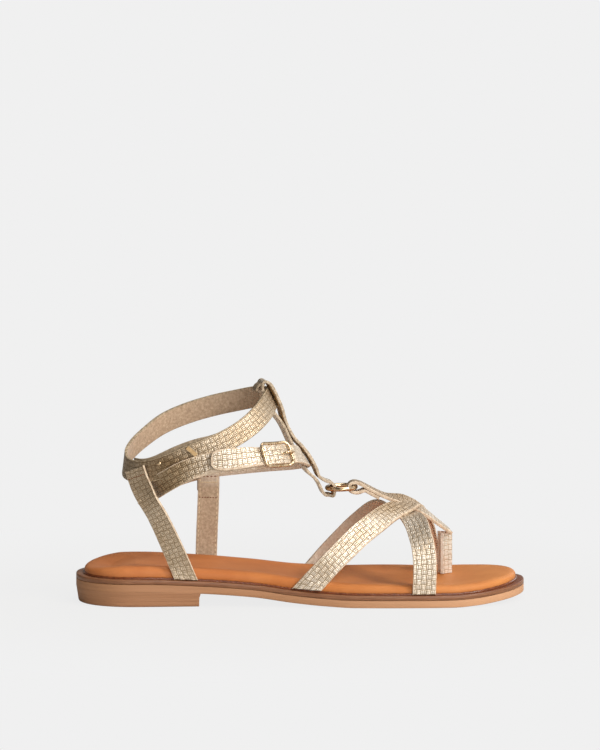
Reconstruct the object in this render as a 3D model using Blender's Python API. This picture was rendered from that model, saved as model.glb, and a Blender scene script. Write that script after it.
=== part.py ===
"""Right gladiator sandal: flat stacked sole, padded footbed, crossed forefoot straps with a toe post,
ringed instep strap and a double ankle strap with a buckle. Lengths are millimetres until they reach a mesh."""

import math
from collections import namedtuple

import bmesh
import bpy
import numpy as np

# Driving dimensions, in millimetres
MM = 0.001
SOLE_LENGTH = 250.0
HEEL_ROUND = 32.0
TOE_ROUND = 46.0
HEEL_BLUNTNESS = 2.3
TOE_BLUNTNESS = 2.15
TOE_TIP_OFFSET = 4.0
OUTSOLE_THICKNESS = 4.1
RAND_THICKNESS = 2.5
HEEL_BREAST = 67.5
HEEL_TAPER = 1.2
EDGE_ROUND = 0.5
GAP = 0.3
MARGIN_SIDES = 2.9
MARGIN_ENDS = 4.6
FOOTBED_DISH = 0.9
FOOTBED_ARCH_LIFT = 0.7
STRAP_THICKNESS = 1.8
FOREFOOT_WIDTH = 13.0
HEEL_STRAP_WIDTH = 12.0
ANKLE_WIDTH = 12.0
INSTEP_WIDTH = 9.5
INSTEP_THICKNESS = 1.6
TOE_STRAP_WIDTH = 11.0
RING_DIAMETER = 18.4
RING_WIRE = 2.6
BUCKLE_LENGTH = 22.0
BUCKLE_HEIGHT = 15.6
BUCKLE_WIRE = 1.8
CORNER_CUT = 0.35

# The sole, heel to toe: how far each side stands from the middle line, the height of the underside,
# and the height of the footbed's padded edge
Section = namedtuple("Section", "station outer inner underside padding")
SOLE = (
    Section(0, 29.0, 29.0, 8.6, 6.6),
    Section(35, 30.5, 30.5, 8.6, 6.9),
    Section(70, 29.6, 29.4, 7.2, 6.7),
    Section(97, 30.0, 28.0, 5.2, 6.5),
    Section(120, 32.8, 30.2, 2.2, 6.4),
    Section(136, 35.6, 34.8, 0.8, 6.1),
    Section(154, 38.4, 40.4, 0.0, 5.7),
    Section(175, 39.8, 43.6, 0.0, 5.3),
    Section(192, 40.0, 44.0, 0.0, 5.1),
    Section(208, 39.4, 43.2, 0.0, 5.0),
    Section(222, 38.6, 42.0, 0.7, 4.9),
    Section(236, 38.0, 41.0, 2.1, 4.6),
    Section(250, 38.0, 40.0, 3.7, 4.2),
)

# One row of a strap: the middle of its section, and the direction across its width
Fold = namedtuple("Fold", "x y z ax ay az")

# Outer rear base, up over the instep and down to the inner front base
CROSS_FRONT = (
    Fold(127.2, -32.9, 9.9, -0.985, 0.165, 0.06),
    Fold(140.0, -35.0, 24.3, -0.72, -0.10, 0.68),
    Fold(148.4, -32.3, 32.2, -0.70, 0.00, 0.70),
    Fold(157.0, -28.0, 39.7, -0.72, 0.10, 0.66),
    Fold(165.7, -21.0, 45.3, -0.78, 0.20, 0.55),
    Fold(173.6, -12.0, 49.4, -0.84, 0.28, 0.40),
    Fold(180.5, -2.0, 52.2, -0.86, 0.35, 0.32),
    Fold(185.5, 10.0, 53.0, -0.88, 0.34, 0.32),
    Fold(190.6, 22.0, 46.8, -0.90, 0.25, 0.25),
    Fold(195.0, 33.0, 33.5, -0.95, 0.12, 0.20),
    Fold(197.2, 40.7, 19.0, -0.98, 0.05, 0.12),
    Fold(197.4, 42.5, 7.5, -1.0, 0.0, 0.0),
)
# Outer front base, back under the other strap and down to the inner rear base
CROSS_BACK = (
    Fold(192.2, -38.3, 7.5, -1.0, 0.0, 0.0),
    Fold(192.6, -38.9, 23.5, -0.99, 0.0, 0.05),
    Fold(191.8, -36.4, 33.5, -0.96, 0.05, -0.15),
    Fold(190.2, -30.5, 41.2, -0.90, 0.20, -0.20),
    Fold(186.4, -20.0, 47.6, -0.82, 0.45, -0.10),
    Fold(179.6, -4.5, 50.3, -0.75, 0.62, 0.10),
    Fold(170.4, 10.6, 48.6, -0.72, 0.58, 0.38),
    Fold(159.5, 24.6, 38.8, -0.70, 0.35, 0.62),
    Fold(150.0, 32.4, 28.0, -0.72, 0.15, 0.67),
    Fold(141.0, 36.4, 17.6, -0.76, -0.05, 0.64),
    Fold(133.6, 33.4, 9.6, -0.955, -0.29, 0.09),
)
# A row of a strap whose width changes: its share of the full width comes last
Tip = namedtuple("Tip", "x y z ax ay az width")

# Lower layer, narrowed and folded round the front of the ring, and on over the crossing to the toe post
TOE_STRAP = (
    Tip(168.8, 3.0, 56.3, 0.0, 0.99, 0.05, 0.96),
    Tip(164.2, 2.5, 58.8, 0.0, 1.0, 0.03, 0.88),
    Tip(160.7, 2.1, 60.1, 0.0, 1.0, 0.0, 0.80),
    Tip(157.4, 1.7, 59.5, 0.0, 1.0, 0.0, 0.76),
    Tip(154.6, 1.5, 59.7, 0.0, 1.0, 0.0, 0.76),
    Tip(152.6, 1.5, 60.8, 0.0, 1.0, 0.0, 0.76),
    Tip(152.0, 1.5, 62.6, 0.0, 1.0, 0.0, 0.76),
    Tip(152.8, 1.5, 64.3, 0.0, 1.0, 0.0, 0.76),
    Tip(155.0, 1.5, 65.2, 0.0, 1.0, 0.0, 0.76),
    Tip(158.4, 1.8, 64.5, 0.0, 1.0, 0.0, 0.78),
    Tip(162.0, 2.1, 62.5, 0.0, 1.0, 0.02, 0.86),
    Tip(168.0, 2.8, 59.2, 0.0, 1.0, 0.03, 0.96),
    Tip(173.0, 3.5, 56.8, 0.0, 1.0, 0.06, 1.0),
    Tip(177.5, 4.1, 55.6, 0.0, 0.98, 0.20, 1.0),
    Tip(182.0, 4.8, 54.6, 0.0, 0.95, 0.31, 1.0),
    Tip(187.0, 5.5, 52.4, 0.0, 0.94, 0.34, 1.0),
    Tip(191.5, 6.6, 49.6, 0.0, 0.95, 0.31, 1.0),
    Tip(196.0, 7.8, 46.1, 0.0, 0.98, 0.16, 1.0),
    Tip(202.0, 9.6, 41.2, 0.0, 0.99, 0.08, 1.0),
    Tip(209.0, 11.8, 35.6, 0.0, 1.0, 0.0, 0.96),
)
# The folded toe post in plan: its front ridge, each wing's cut end (outer corner first), and its inner corner
POST_RIDGE = (210.4, 12.0)
POST_NEAR_END = ((205.4, 8.1), (203.8, 9.0))
POST_FAR_END = ((202.4, 15.6), (202.9, 14.1))
POST_INNER = (208.2, 12.1)
POST_TOP = 35.4
POST_FOOT = 12.1

# Middle line of the doubled instep strap in its own plane, and how far apart its two layers run
Layer = namedtuple("Layer", "x z spread")
INSTEP_Y = 1.5
INSTEP = (
    Layer(104.8, 120.4, 4.4),
    Layer(106.4, 116.8, 5.9),
    Layer(109.2, 110.8, 5.9),
    Layer(111.6, 106.0, 5.0),
    Layer(115.0, 99.0, 2.3),
    Layer(119.2, 90.6, 2.7),
    Layer(123.0, 84.6, 4.8),
    Layer(127.0, 78.4, 5.8),
    Layer(131.0, 72.4, 5.3),
    Layer(134.2, 68.0, 2.9),
    Layer(137.0, 65.0, 4.8),
    Layer(139.8, 62.4, 7.2),
    Layer(141.4, 60.4, 6.6),
    Layer(142.2, 59.2, 3.4),
)

# Upper ankle loop: instep, round the inner ankle and the back, and up the outer side
ANKLE_UPPER = (
    Fold(107.9, 1.5, 113.0, -0.43, 0.0, 0.90),
    Fold(106.8, 8.6, 112.8, -0.38, -0.03, 0.92),
    Fold(101.6, 15.6, 111.6, -0.20, -0.05, 0.98),
    Fold(91.2, 24.4, 108.4, -0.08, -0.10, 0.99),
    Fold(77.0, 30.8, 104.4, 0.0, -0.14, 0.99),
    Fold(62.5, 32.4, 99.8, 0.0, -0.16, 0.98),
    Fold(50.0, 29.6, 94.8, 0.05, -0.16, 0.98),
    Fold(39.4, 22.4, 88.4, 0.10, -0.15, 0.98),
    Fold(31.2, 12.2, 82.4, 0.12, -0.06, 0.99),
    Fold(27.4, 1.0, 78.2, 0.12, 0.0, 0.99),
    Fold(28.0, -11.0, 75.6, 0.12, 0.04, 0.99),
    Fold(33.0, -20.4, 75.0, 0.10, 0.06, 0.99),
    Fold(41.5, -26.6, 76.4, 0.06, 0.08, 0.99),
    Fold(52.0, -30.2, 80.4, -0.10, 0.10, 0.98),
    Fold(63.0, -31.9, 85.4, -0.25, 0.10, 0.96),
    Fold(75.0, -31.9, 90.2, -0.35, 0.10, 0.93),
    Fold(86.0, -29.2, 95.2, -0.44, 0.12, 0.89),
    Fold(95.0, -24.4, 100.4, -0.52, 0.14, 0.84),
    Fold(102.2, -16.4, 106.4, -0.52, 0.10, 0.84),
    Fold(106.6, -6.6, 111.6, -0.45, 0.03, 0.89),
)
# Lower ankle strap: from under the buckle back along the outer side, round the heel and the inner side,
# through the instep slot, under the front bar, over the middle bar, under the rear bar, to the free tip
ANKLE_LOWER = (
    Tip(111.1, -22.1, 82.8, -0.29, 0.43, 0.86, 0.9),
    Tip(101.7, -28.6, 83.2, -0.25, 0.35, 0.90, 0.95),
    Tip(90.0, -32.4, 82.8, -0.15, 0.15, 0.97, 1.0),
    Tip(75.5, -34.0, 81.6, -0.15, 0.05, 0.99, 1.0),
    Tip(60.0, -33.9, 77.2, -0.35, 0.05, 0.94, 1.0),
    Tip(49.0, -30.4, 70.8, -0.42, 0.05, 0.90, 1.0),
    Tip(41.0, -21.4, 64.6, -0.30, 0.05, 0.95, 1.0),
    Tip(36.2, -9.0, 61.0, -0.10, 0.0, 0.99, 1.0),
    Tip(35.8, 5.0, 59.0, 0.05, 0.0, 1.0, 1.0),
    Tip(40.0, 18.0, 58.6, 0.15, 0.0, 0.99, 1.0),
    Tip(48.4, 27.0, 61.0, 0.20, 0.0, 0.98, 1.0),
    Tip(59.5, 32.0, 65.6, 0.12, -0.05, 0.99, 1.0),
    Tip(73.4, 33.4, 69.0, 0.0, -0.08, 0.99, 1.0),
    Tip(92.0, 31.0, 71.6, 0.0, -0.08, 0.99, 1.0),
    Tip(108.0, 24.6, 74.0, -0.10, -0.05, 0.99, 1.0),
    Tip(119.2, 15.4, 76.0, -0.35, -0.03, 0.93, 1.0),
    Tip(125.6, 8.6, 77.4, -0.52, 0.0, 0.85, 0.96),
    Tip(127.0, 1.5, 78.4, -0.55, 0.0, 0.83, 0.94),
    Tip(126.3, -5.6, 80.4, -0.50, 0.10, 0.85, 0.94),
    Tip(124.2, -12.4, 82.6, -0.40, 0.30, 0.86, 0.92),
    Tip(121.4, -17.6, 83.8, -0.32, 0.40, 0.86, 0.9),
    Tip(119.0, -19.5, 83.9, -0.29, 0.43, 0.86, 0.9),
    Tip(115.3, -23.0, 84.6, -0.29, 0.43, 0.86, 0.9),
    Tip(111.3, -26.0, 84.9, -0.29, 0.43, 0.86, 0.9),
    Tip(107.0, -28.6, 84.9, -0.29, 0.43, 0.86, 0.9),
    Tip(102.3, -30.8, 84.6, -0.29, 0.43, 0.86, 0.9),
    Tip(96.0, -34.0, 84.6, -0.20, 0.30, 0.93, 0.95),
    Tip(88.0, -36.0, 84.2, -0.08, 0.15, 0.98, 1.0),
    Tip(80.0, -36.8, 83.8, 0.0, 0.08, 1.0, 1.0),
    Tip(76.4, -36.8, 83.7, 0.0, 0.06, 1.0, 0.9),
    Tip(74.4, -36.8, 83.6, 0.0, 0.06, 1.0, 0.66),
    Tip(73.6, -36.8, 83.6, 0.0, 0.06, 1.0, 0.36),
)

# Outer heel strap: from the sole up the outside of both ankle straps, to its sewn end
HEEL_OUTER = (
    Fold(60.2, -28.3, 15.2, 1.0, 0.0, -0.04),
    Fold(53.0, -30.4, 32.5, 0.88, -0.12, -0.45),
    Fold(44.6, -30.6, 50.7, 0.82, -0.32, -0.42),
    Fold(38.2, -28.8, 61.6, 0.82, -0.44, -0.34),
    Fold(34.2, -26.0, 70.4, 0.87, -0.45, -0.20),
    Fold(31.8, -24.8, 77.4, 0.90, -0.44, 0.06),
)
# Inner heel strap: up inside the lower ankle strap, over it and down its outside
HEEL_INNER = (
    Fold(73.4, 27.6, 14.3, 1.0, 0.0, -0.06),
    Fold(73.9, 29.6, 32.0, 1.0, 0.0, 0.0),
    Fold(74.2, 30.6, 50.0, 1.0, 0.0, 0.0),
    Fold(73.9, 31.1, 62.0, 1.0, 0.0, 0.0),
    Fold(73.5, 30.3, 74.6, 1.0, 0.0, 0.0),
    Fold(73.4, 32.4, 78.4, 1.0, 0.0, 0.0),
    Fold(73.4, 35.2, 75.6, 1.0, 0.0, 0.0),
    Fold(73.6, 36.0, 62.0, 1.0, 0.0, 0.0),
    Fold(73.8, 36.2, 56.0, 1.0, 0.0, 0.0),
)

RING_CENTRE = (148.0, 1.5, 62.2)
RING_TILT = -2.0
BUCKLE_CENTRE = (111.3, -26.0, 84.9)
BUCKLE_TURN = 34.0
BUCKLE_PITCH = -2.0
BUCKLE_LEAN = 31.0
END_BAR_RISE = 0.9
MIDDLE_BAR_DEPTH = 1.9
MIDDLE_BAR_WIRE = 1.4
PRONG_WIRE = 1.4
PRONG_ROOT = 1.9
HOLE_DIAMETER = 2.3


def origin_shift():
    """The origin stands on the floor under the middle of the sole's box."""
    widest_outer = max(s.outer for s in SOLE)
    widest_inner = max(s.inner for s in SOLE)
    return np.array([SOLE_LENGTH / 2, (widest_inner - widest_outer) / 2, 0.0])


def clear_scene():
    for thing in list(bpy.data.objects):
        bpy.data.objects.remove(thing, do_unlink=True)


def new_collection(name, hidden=False):
    group = bpy.data.collections.new(name)
    bpy.context.scene.collection.children.link(group)
    group.hide_render = hidden
    return group


def principled(name, colour, roughness, metallic=0.0):
    material = bpy.data.materials.new(name)
    material.use_nodes = True
    shader = material.node_tree.nodes["Principled BSDF"]
    shader.inputs["Base Color"].default_value = (*colour, 1.0)
    shader.inputs["Roughness"].default_value = roughness
    shader.inputs["Metallic"].default_value = metallic
    material.diffuse_color = (*colour, 1.0)
    return material


def monotone(at, knots, values):
    """Cubic curve through the knots that never swings past them."""
    knots = np.asarray(knots, float)
    values = np.asarray(values, float)
    at = np.clip(np.asarray(at, float), knots[0], knots[-1])
    step = np.diff(knots)
    slope = np.diff(values) / step
    tangent = np.zeros(len(knots))
    for i in range(1, len(knots) - 1):
        if slope[i - 1] * slope[i] > 0:
            tangent[i] = 2 * slope[i - 1] * slope[i] / (slope[i - 1] + slope[i])
    tangent[0] = slope[0]
    tangent[-1] = slope[-1]
    i = np.clip(np.searchsorted(knots, at, side="right") - 1, 0, len(step) - 1)
    t = (at - knots[i]) / step[i]
    start = (1 + 2 * t) * (1 - t) ** 2 * values[i] + t * (1 - t) ** 2 * step[i] * tangent[i]
    end = t * t * (3 - 2 * t) * values[i + 1] + t * t * (t - 1) * step[i] * tangent[i + 1]
    return start + end


def column(name):
    return [getattr(section, name) for section in SOLE]


def underside(x):
    return monotone(x, column("station"), column("underside"))


def rand_top(x):
    return underside(x) + OUTSOLE_THICKNESS + GAP + RAND_THICKNESS


def middle_line(x):
    return TOE_TIP_OFFSET * np.clip(x / SOLE_LENGTH, 0, 1) ** 2


def end_rounding(x):
    """Share of the half-width that is left at a station: a superellipse at the heel and at the toe."""
    heel = np.clip((HEEL_ROUND - x) / HEEL_ROUND, 0, 1)
    toe = np.clip((x - SOLE_LENGTH + TOE_ROUND) / TOE_ROUND, 0, 1)
    heel_share = (1 - heel**HEEL_BLUNTNESS) ** (1 / HEEL_BLUNTNESS)
    toe_share = (1 - toe**TOE_BLUNTNESS) ** (1 / TOE_BLUNTNESS)
    return heel_share * toe_share


def side_stations(first=0.0, last=SOLE_LENGTH):
    """Stations along one side, close together where the ends turn."""
    quarter = np.linspace(0, math.pi / 2, 9)
    heel = HEEL_ROUND * (1 - np.cos(quarter)) ** 1.15
    toe = SOLE_LENGTH - TOE_ROUND * (1 - np.cos(quarter[::-1])) ** 1.15
    waist = np.linspace(HEEL_ROUND, SOLE_LENGTH - TOE_ROUND, 15)[1:-1]
    stations = np.concatenate([heel, waist, toe])
    stations = stations[(stations >= first) & (stations < last - 0.5)]
    return np.append(stations, last)


def edge_loop(stations):
    """Closed outline: out along the outer side, back along the inner side."""
    share = end_rounding(stations)
    axis = middle_line(stations)
    outer = axis - (monotone(stations, column("station"), column("outer")) + axis) * share
    inner = axis + (monotone(stations, column("station"), column("inner")) - axis) * share
    there = np.stack([stations, outer], 1)
    back = np.stack([stations, inner], 1)[::-1]
    if share[-1] < 1e-6:
        back = back[1:]
    if share[0] < 1e-6:
        back = back[:-1]
    return np.concatenate([there, back])


def inset_loop(loop, inset):
    """The outline moved inwards along its own normal."""
    ahead = np.roll(loop, -1, 0) - np.roll(loop, 1, 0)
    ahead /= np.linalg.norm(ahead, axis=1)[:, None]
    inwards = np.stack([-ahead[:, 1], ahead[:, 0]], 1)
    return loop + inwards * np.reshape(inset, (-1, 1))


def end_margin(loop):
    """The bare rand margin: narrow along the sides, wider round heel and toe."""
    x = loop[:, 0]
    heel = np.clip(1 - x / 26.0, 0, 1)
    toe = np.clip((x - SOLE_LENGTH + 30.0) / 30.0, 0, 1)
    near_end = np.maximum(heel, toe) ** 1.5
    return MARGIN_SIDES + (MARGIN_ENDS - MARGIN_SIDES) * near_end


def new_object(name, group, material, mesh):
    mesh.materials.append(material)
    thing = bpy.data.objects.new(name, mesh)
    group.objects.link(thing)
    return thing


def mesh_from(name, points, faces):
    """A closed mesh in metres about the model's origin, faces outwards."""
    mesh = bpy.data.meshes.new(name)
    work = bmesh.new()
    verts = [work.verts.new(p) for p in (np.asarray(points) - origin_shift()) * MM]
    for face in faces:
        work.faces.new([verts[i] for i in face])
    bmesh.ops.remove_doubles(work, verts=work.verts, dist=0.00001)
    bmesh.ops.recalc_face_normals(work, faces=work.faces)
    work.to_mesh(mesh)
    work.free()
    return mesh


def stacked_layer(name, group, material, rows, both_ends=True):
    """A sole layer: outlines stacked from the bottom row to the top row, closed across at both."""
    count = len(rows[0])
    points = np.concatenate(rows)
    faces = []
    for r in range(len(rows) - 1):
        for i in range(count):
            j = (i + 1) % count
            base = r * count
            faces.append((base + i, base + j, base + count + j, base + count + i))
    for base in (0, (len(rows) - 1) * count):
        faces += across(base, count, both_ends)
    return new_object(name, group, material, mesh_from(name, points, faces))


def across(base, count, both_ends):
    """Strips from the outer to the inner side. A rounded end closes on one shared point."""
    faces = []
    low = 0
    high = count - 1
    if both_ends:
        faces.append((base, base + 1, base + high))
        low = 1
    while high - low > 2:
        faces.append((base + low, base + low + 1, base + high - 1, base + high))
        low += 1
        high -= 1
    if high - low == 2:
        faces.append((base + low, base + low + 1, base + high))
    return faces


def level(loop, height):
    return np.column_stack([loop, height])


def make_outsole(group, material):
    loop = edge_loop(side_stations())
    bottom = underside(loop[:, 0])
    rows = [
        level(inset_loop(loop, EDGE_ROUND), bottom),
        level(loop, bottom + EDGE_ROUND),
        level(loop, bottom + OUTSOLE_THICKNESS),
    ]
    return stacked_layer("outsole", group, material, rows)


def make_rand(group, material):
    loop = edge_loop(side_stations())
    bottom = underside(loop[:, 0]) + OUTSOLE_THICKNESS + GAP
    rows = [
        level(loop, bottom),
        level(loop, bottom + RAND_THICKNESS - EDGE_ROUND),
        level(inset_loop(loop, EDGE_ROUND), bottom + RAND_THICKNESS),
    ]
    return stacked_layer("rand", group, material, rows)


def make_heel(group, material):
    loop = edge_loop(side_stations(last=HEEL_BREAST))
    floor = np.zeros(len(loop))
    middle = np.array([HEEL_ROUND, 0.0])
    half = SOLE[0].outer
    worn = middle + (loop - middle) * (1 - HEEL_TAPER / half)
    rows = [
        level(middle + (worn - middle) * (1 - EDGE_ROUND / half), floor),
        level(worn, floor + EDGE_ROUND),
        level(loop, underside(loop[:, 0]) - GAP),
    ]
    return stacked_layer("heel", group, material, rows, both_ends=False)


def make_footbed(group, material):
    """Padded footbed: a soft bulging side, a rolled edge and a dished middle."""
    loop = edge_loop(side_stations())
    margin = end_margin(loop)
    base = rand_top(loop[:, 0]) + GAP
    inner_side = loop[:, 1] > middle_line(loop[:, 0])
    lift = FOOTBED_ARCH_LIFT * np.where(inner_side, 1.0, -0.4) * end_rounding(loop[:, 0])
    edge = monotone(loop[:, 0], column("station"), column("padding")) + lift
    profile = (
        # inwards from the margin, height as a share of the edge height
        (0.5, 0.0),
        (0.0, 0.30),
        (0.3, 0.62),
        (1.7, 0.90),
        (4.2, 1.0),
        (8.0, 0.97),
    )
    rows = []
    for inwards, share in profile:
        ring = inset_loop(loop, margin + inwards)
        rows.append(level(ring, base + share * edge))
    rows.append(level(inset_loop(loop, margin + 15.0), base + edge - FOOTBED_DISH - 0.4 * lift))
    return stacked_layer("footbed", group, material, rows)


def curve_through(rows, per_span, closed=False):
    """Smooth curve through the rows' columns, each span split into the same number of steps."""
    rows = np.asarray(rows, float)
    if closed:
        padded = np.vstack([rows[-1], rows, rows[0], rows[1]])
        spans = len(rows)
    else:
        padded = np.vstack([2 * rows[0] - rows[1], rows, 2 * rows[-1] - rows[-2]])
        spans = len(rows) - 1
    reach = np.sqrt(np.linalg.norm(np.diff(padded[:, :3], axis=0), axis=1))
    knots = np.concatenate([[0], np.cumsum(reach)])
    out = []
    for i in range(1, spans + 1):
        a, b, c, d = padded[i - 1 : i + 3]
        ta, tb, tc, td = knots[i - 1 : i + 3]
        for t in np.linspace(tb, tc, per_span, endpoint=False):
            ab = a + (b - a) * (t - ta) / (tb - ta)
            bc = b + (c - b) * (t - tb) / (tc - tb)
            cd = c + (d - c) * (t - tc) / (td - tc)
            abc = ab + (bc - ab) * (t - ta) / (tc - ta)
            bcd = bc + (cd - bc) * (t - tb) / (td - tb)
            out.append(abc + (bcd - abc) * (t - tb) / (tc - tb))
    if not closed:
        out.append(rows[-1])
    return np.array(out)


def strap_frames(rows, per_span, closed, level_ends):
    """Middle points of the strap, and its directions across the width and through the thickness.
    A level end is cut along the direction that its row states, and not square to the strap."""
    curve = curve_through(rows, per_span, closed)
    middle = curve[:, :3]
    if closed:
        ahead = np.roll(middle, -1, 0) - np.roll(middle, 1, 0)
    else:
        ahead = np.gradient(middle, axis=0)
    ahead /= np.linalg.norm(ahead, axis=1)[:, None]
    stated = curve[:, 3:6] / np.linalg.norm(curve[:, 3:6], axis=1)[:, None]
    square = stated - ahead * np.sum(stated * ahead, axis=1)[:, None]
    reach = np.linalg.norm(square, axis=1)[:, None]
    square /= reach
    face = np.cross(ahead, square)
    for end in level_ends:
        square[end] = stated[end] / reach[end]
    return curve, middle, square, face


def strap(
    name,
    group,
    material,
    rows,
    width,
    thickness=STRAP_THICKNESS,
    per_span=3,
    closed=False,
    level_ends=(),
):
    """A flat strap swept along its rows, with its four long corners cut."""
    curve, middle, side, face = strap_frames(rows, per_span, closed, level_ends)
    share = curve[:, 6] if curve.shape[1] > 6 else np.ones(len(curve))
    half = share[:, None] * width / 2
    thick = thickness / 2
    cut = CORNER_CUT
    corners = (
        (1, 0, -thick + cut),
        (1, 0, thick - cut),
        (1, -cut, thick),
        (-1, cut, thick),
        (-1, 0, thick - cut),
        (-1, 0, -thick + cut),
        (-1, cut, -thick),
        (1, -cut, -thick),
    )
    ring = len(corners)
    points = np.stack([middle + side * (half * s + d) + face * f for s, d, f in corners], 1).reshape(-1, 3)
    sections = len(middle)
    faces = []
    for i in range(sections if closed else sections - 1):
        here = i * ring
        there = ((i + 1) % sections) * ring
        for k in range(ring):
            m = (k + 1) % ring
            faces.append((here + k, here + m, there + m, there + k))
    if not closed:
        faces.append(tuple(range(ring)))
        faces.append(tuple(range((sections - 1) * ring, sections * ring)))
    return new_object(name, group, material, mesh_from(name, points, faces))


def join(body, other, spare):
    """The other solid is united with the body and kept as a hidden guide."""
    for group in list(other.users_collection):
        group.objects.unlink(other)
    spare.objects.link(other)
    other.display_type = "WIRE"
    other.hide_render = True
    union = body.modifiers.new("join_" + other.name, "BOOLEAN")
    union.operation = "UNION"
    union.solver = "EXACT"
    union.object = other


def folded_rows(layers, y):
    """A closed path for a doubled strap: down its front layer, round the end and up its back layer."""
    spine = np.array([(p.x, 0.0, p.z) for p in layers])
    ahead = np.gradient(spine, axis=0)
    ahead /= np.linalg.norm(ahead, axis=1)[:, None]
    front = np.stack([-ahead[:, 2], ahead[:, 1], ahead[:, 0]], 1)
    spread = np.array([p.spread for p in layers])[:, None] / 2
    down = spine + front * spread
    up = (spine - front * spread)[::-1]
    foot = spine[-1] + ahead[-1] * spread[-1] * 0.9
    head = spine[0] - ahead[0] * spread[0] * 0.9
    path = np.vstack([down, foot, up, head])
    path[:, 1] += y
    return np.column_stack([path, np.tile([0.0, 1.0, 0.0], (len(path), 1))])


def make_toe_post(group, material):
    """The toe strap's end folded lengthwise: two wings that open to the rear from one front ridge."""
    near, far = POST_NEAR_END, POST_FAR_END
    plan = [POST_RIDGE, near[0], near[1], POST_INNER, far[1], far[0]]
    points = []
    for height in (POST_FOOT, POST_TOP):
        points += [(x, y, height) for x, y in plan]
    count = len(plan)
    faces = [(i, (i + 1) % count, count + (i + 1) % count, count + i) for i in range(count)]
    for base in (0, count):
        faces.append((base, base + 1, base + 2, base + 3))
        faces.append((base, base + 3, base + 4, base + 5))
    return new_object("toe_post", group, material, mesh_from("toe_post", points, faces))


def make_ring(group, material):
    centre = (np.array(RING_CENTRE) - origin_shift()) * MM
    bpy.ops.mesh.primitive_torus_add(
        major_radius=(RING_DIAMETER - RING_WIRE) / 2 * MM,
        minor_radius=RING_WIRE / 2 * MM,
        major_segments=32,
        minor_segments=10,
        location=centre,
        rotation=(0.0, math.radians(RING_TILT), 0.0),
    )
    ring = bpy.context.object
    ring.name = "ring"
    ring.data.name = "ring"
    ring.data.shade_smooth()
    for home in list(ring.users_collection):
        home.objects.unlink(ring)
    group.objects.link(ring)
    ring.data.materials.append(material)
    return ring


def buckle_axes():
    """The buckle's own directions: along the strap, up across it and out of its face."""
    turn = math.radians(BUCKLE_TURN)
    pitch = math.radians(BUCKLE_PITCH)
    lean = math.radians(BUCKLE_LEAN)
    along = np.array([math.cos(turn) * math.cos(pitch), math.sin(turn) * math.cos(pitch), math.sin(pitch)])
    sideways = np.array([math.sin(turn), -math.cos(turn), 0.0])
    upright = np.cross(along, -sideways)
    up = upright * math.cos(lean) - sideways * math.sin(lean)
    out = sideways * math.cos(lean) + upright * math.sin(lean)
    return along, up, out


def wire(name, points, diameter, closed, sides=2):
    """A round wire along the points, as a mesh with welded caps."""
    data = bpy.data.curves.new(name, "CURVE")
    data.dimensions = "3D"
    data.bevel_depth = diameter / 2 * MM
    data.bevel_resolution = sides
    data.use_fill_caps = True
    line = data.splines.new("POLY")
    line.points.add(len(points) - 1)
    for point, place in zip(line.points, (np.asarray(points) - origin_shift()) * MM):
        point.co = (*place, 1.0)
    line.use_cyclic_u = closed
    guide = bpy.data.objects.new(name + "_line", data)
    bpy.context.scene.collection.objects.link(guide)
    graph = bpy.context.evaluated_depsgraph_get()
    mesh = bpy.data.meshes.new_from_object(guide.evaluated_get(graph))
    bpy.data.objects.remove(guide, do_unlink=True)
    work = bmesh.new()
    work.from_mesh(mesh)
    bmesh.ops.remove_doubles(work, verts=work.verts, dist=0.00001)
    bmesh.ops.recalc_face_normals(work, faces=work.faces)
    work.to_mesh(mesh)
    work.free()
    mesh.materials.clear()
    mesh.shade_smooth()
    return mesh


def frame_line():
    """The buckle frame's wire: a rounded rectangle whose end bars stand a little prouder than its middle."""
    along, up, out = buckle_axes()
    half_length = (BUCKLE_LENGTH - BUCKLE_WIRE) / 2
    half_height = (BUCKLE_HEIGHT - BUCKLE_WIRE) / 2
    corner = 3.0
    points = []
    for quadrant, (sx, sz) in enumerate(((1, 1), (-1, 1), (-1, -1), (1, -1))):
        middle = np.array([sx * (half_length - corner), sz * (half_height - corner)])
        for k in range(5):
            angle = math.radians(90 * quadrant + 22.5 * k)
            points.append(middle + corner * np.array([math.cos(angle), math.sin(angle)]))
        if sx == -1 and sz == 1:
            points.append(np.array([-half_length, 0.0]))
        if sx == 1 and sz == 1:
            points.append(np.array([0.0, half_height]))
        if sx == -1 and sz == -1:
            points.append(np.array([0.0, -half_height]))
    centre = np.array(BUCKLE_CENTRE)
    rise = [END_BAR_RISE * (abs(p[0]) / half_length) ** 2 for p in points]
    return [centre + along * p[0] + up * p[1] + out * r for p, r in zip(points, rise)]


def make_buckle_frame(group, material, spare):
    along, up, out = buckle_axes()
    frame = new_object("buckle_frame", group, material, wire("buckle_frame", frame_line(), BUCKLE_WIRE, True))
    centre = np.array(BUCKLE_CENTRE)
    reach = (BUCKLE_HEIGHT - BUCKLE_WIRE) / 2
    dip = out * MIDDLE_BAR_DEPTH
    bar_line = [
        centre - up * reach,
        centre - up * (reach - 0.6) - dip,
        centre + up * (reach - 0.6) - dip,
        centre + up * reach,
    ]
    bar = new_object("buckle_bar", group, material, wire("buckle_bar", bar_line, MIDDLE_BAR_WIRE, False))
    join(frame, bar, spare)
    return frame


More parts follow.
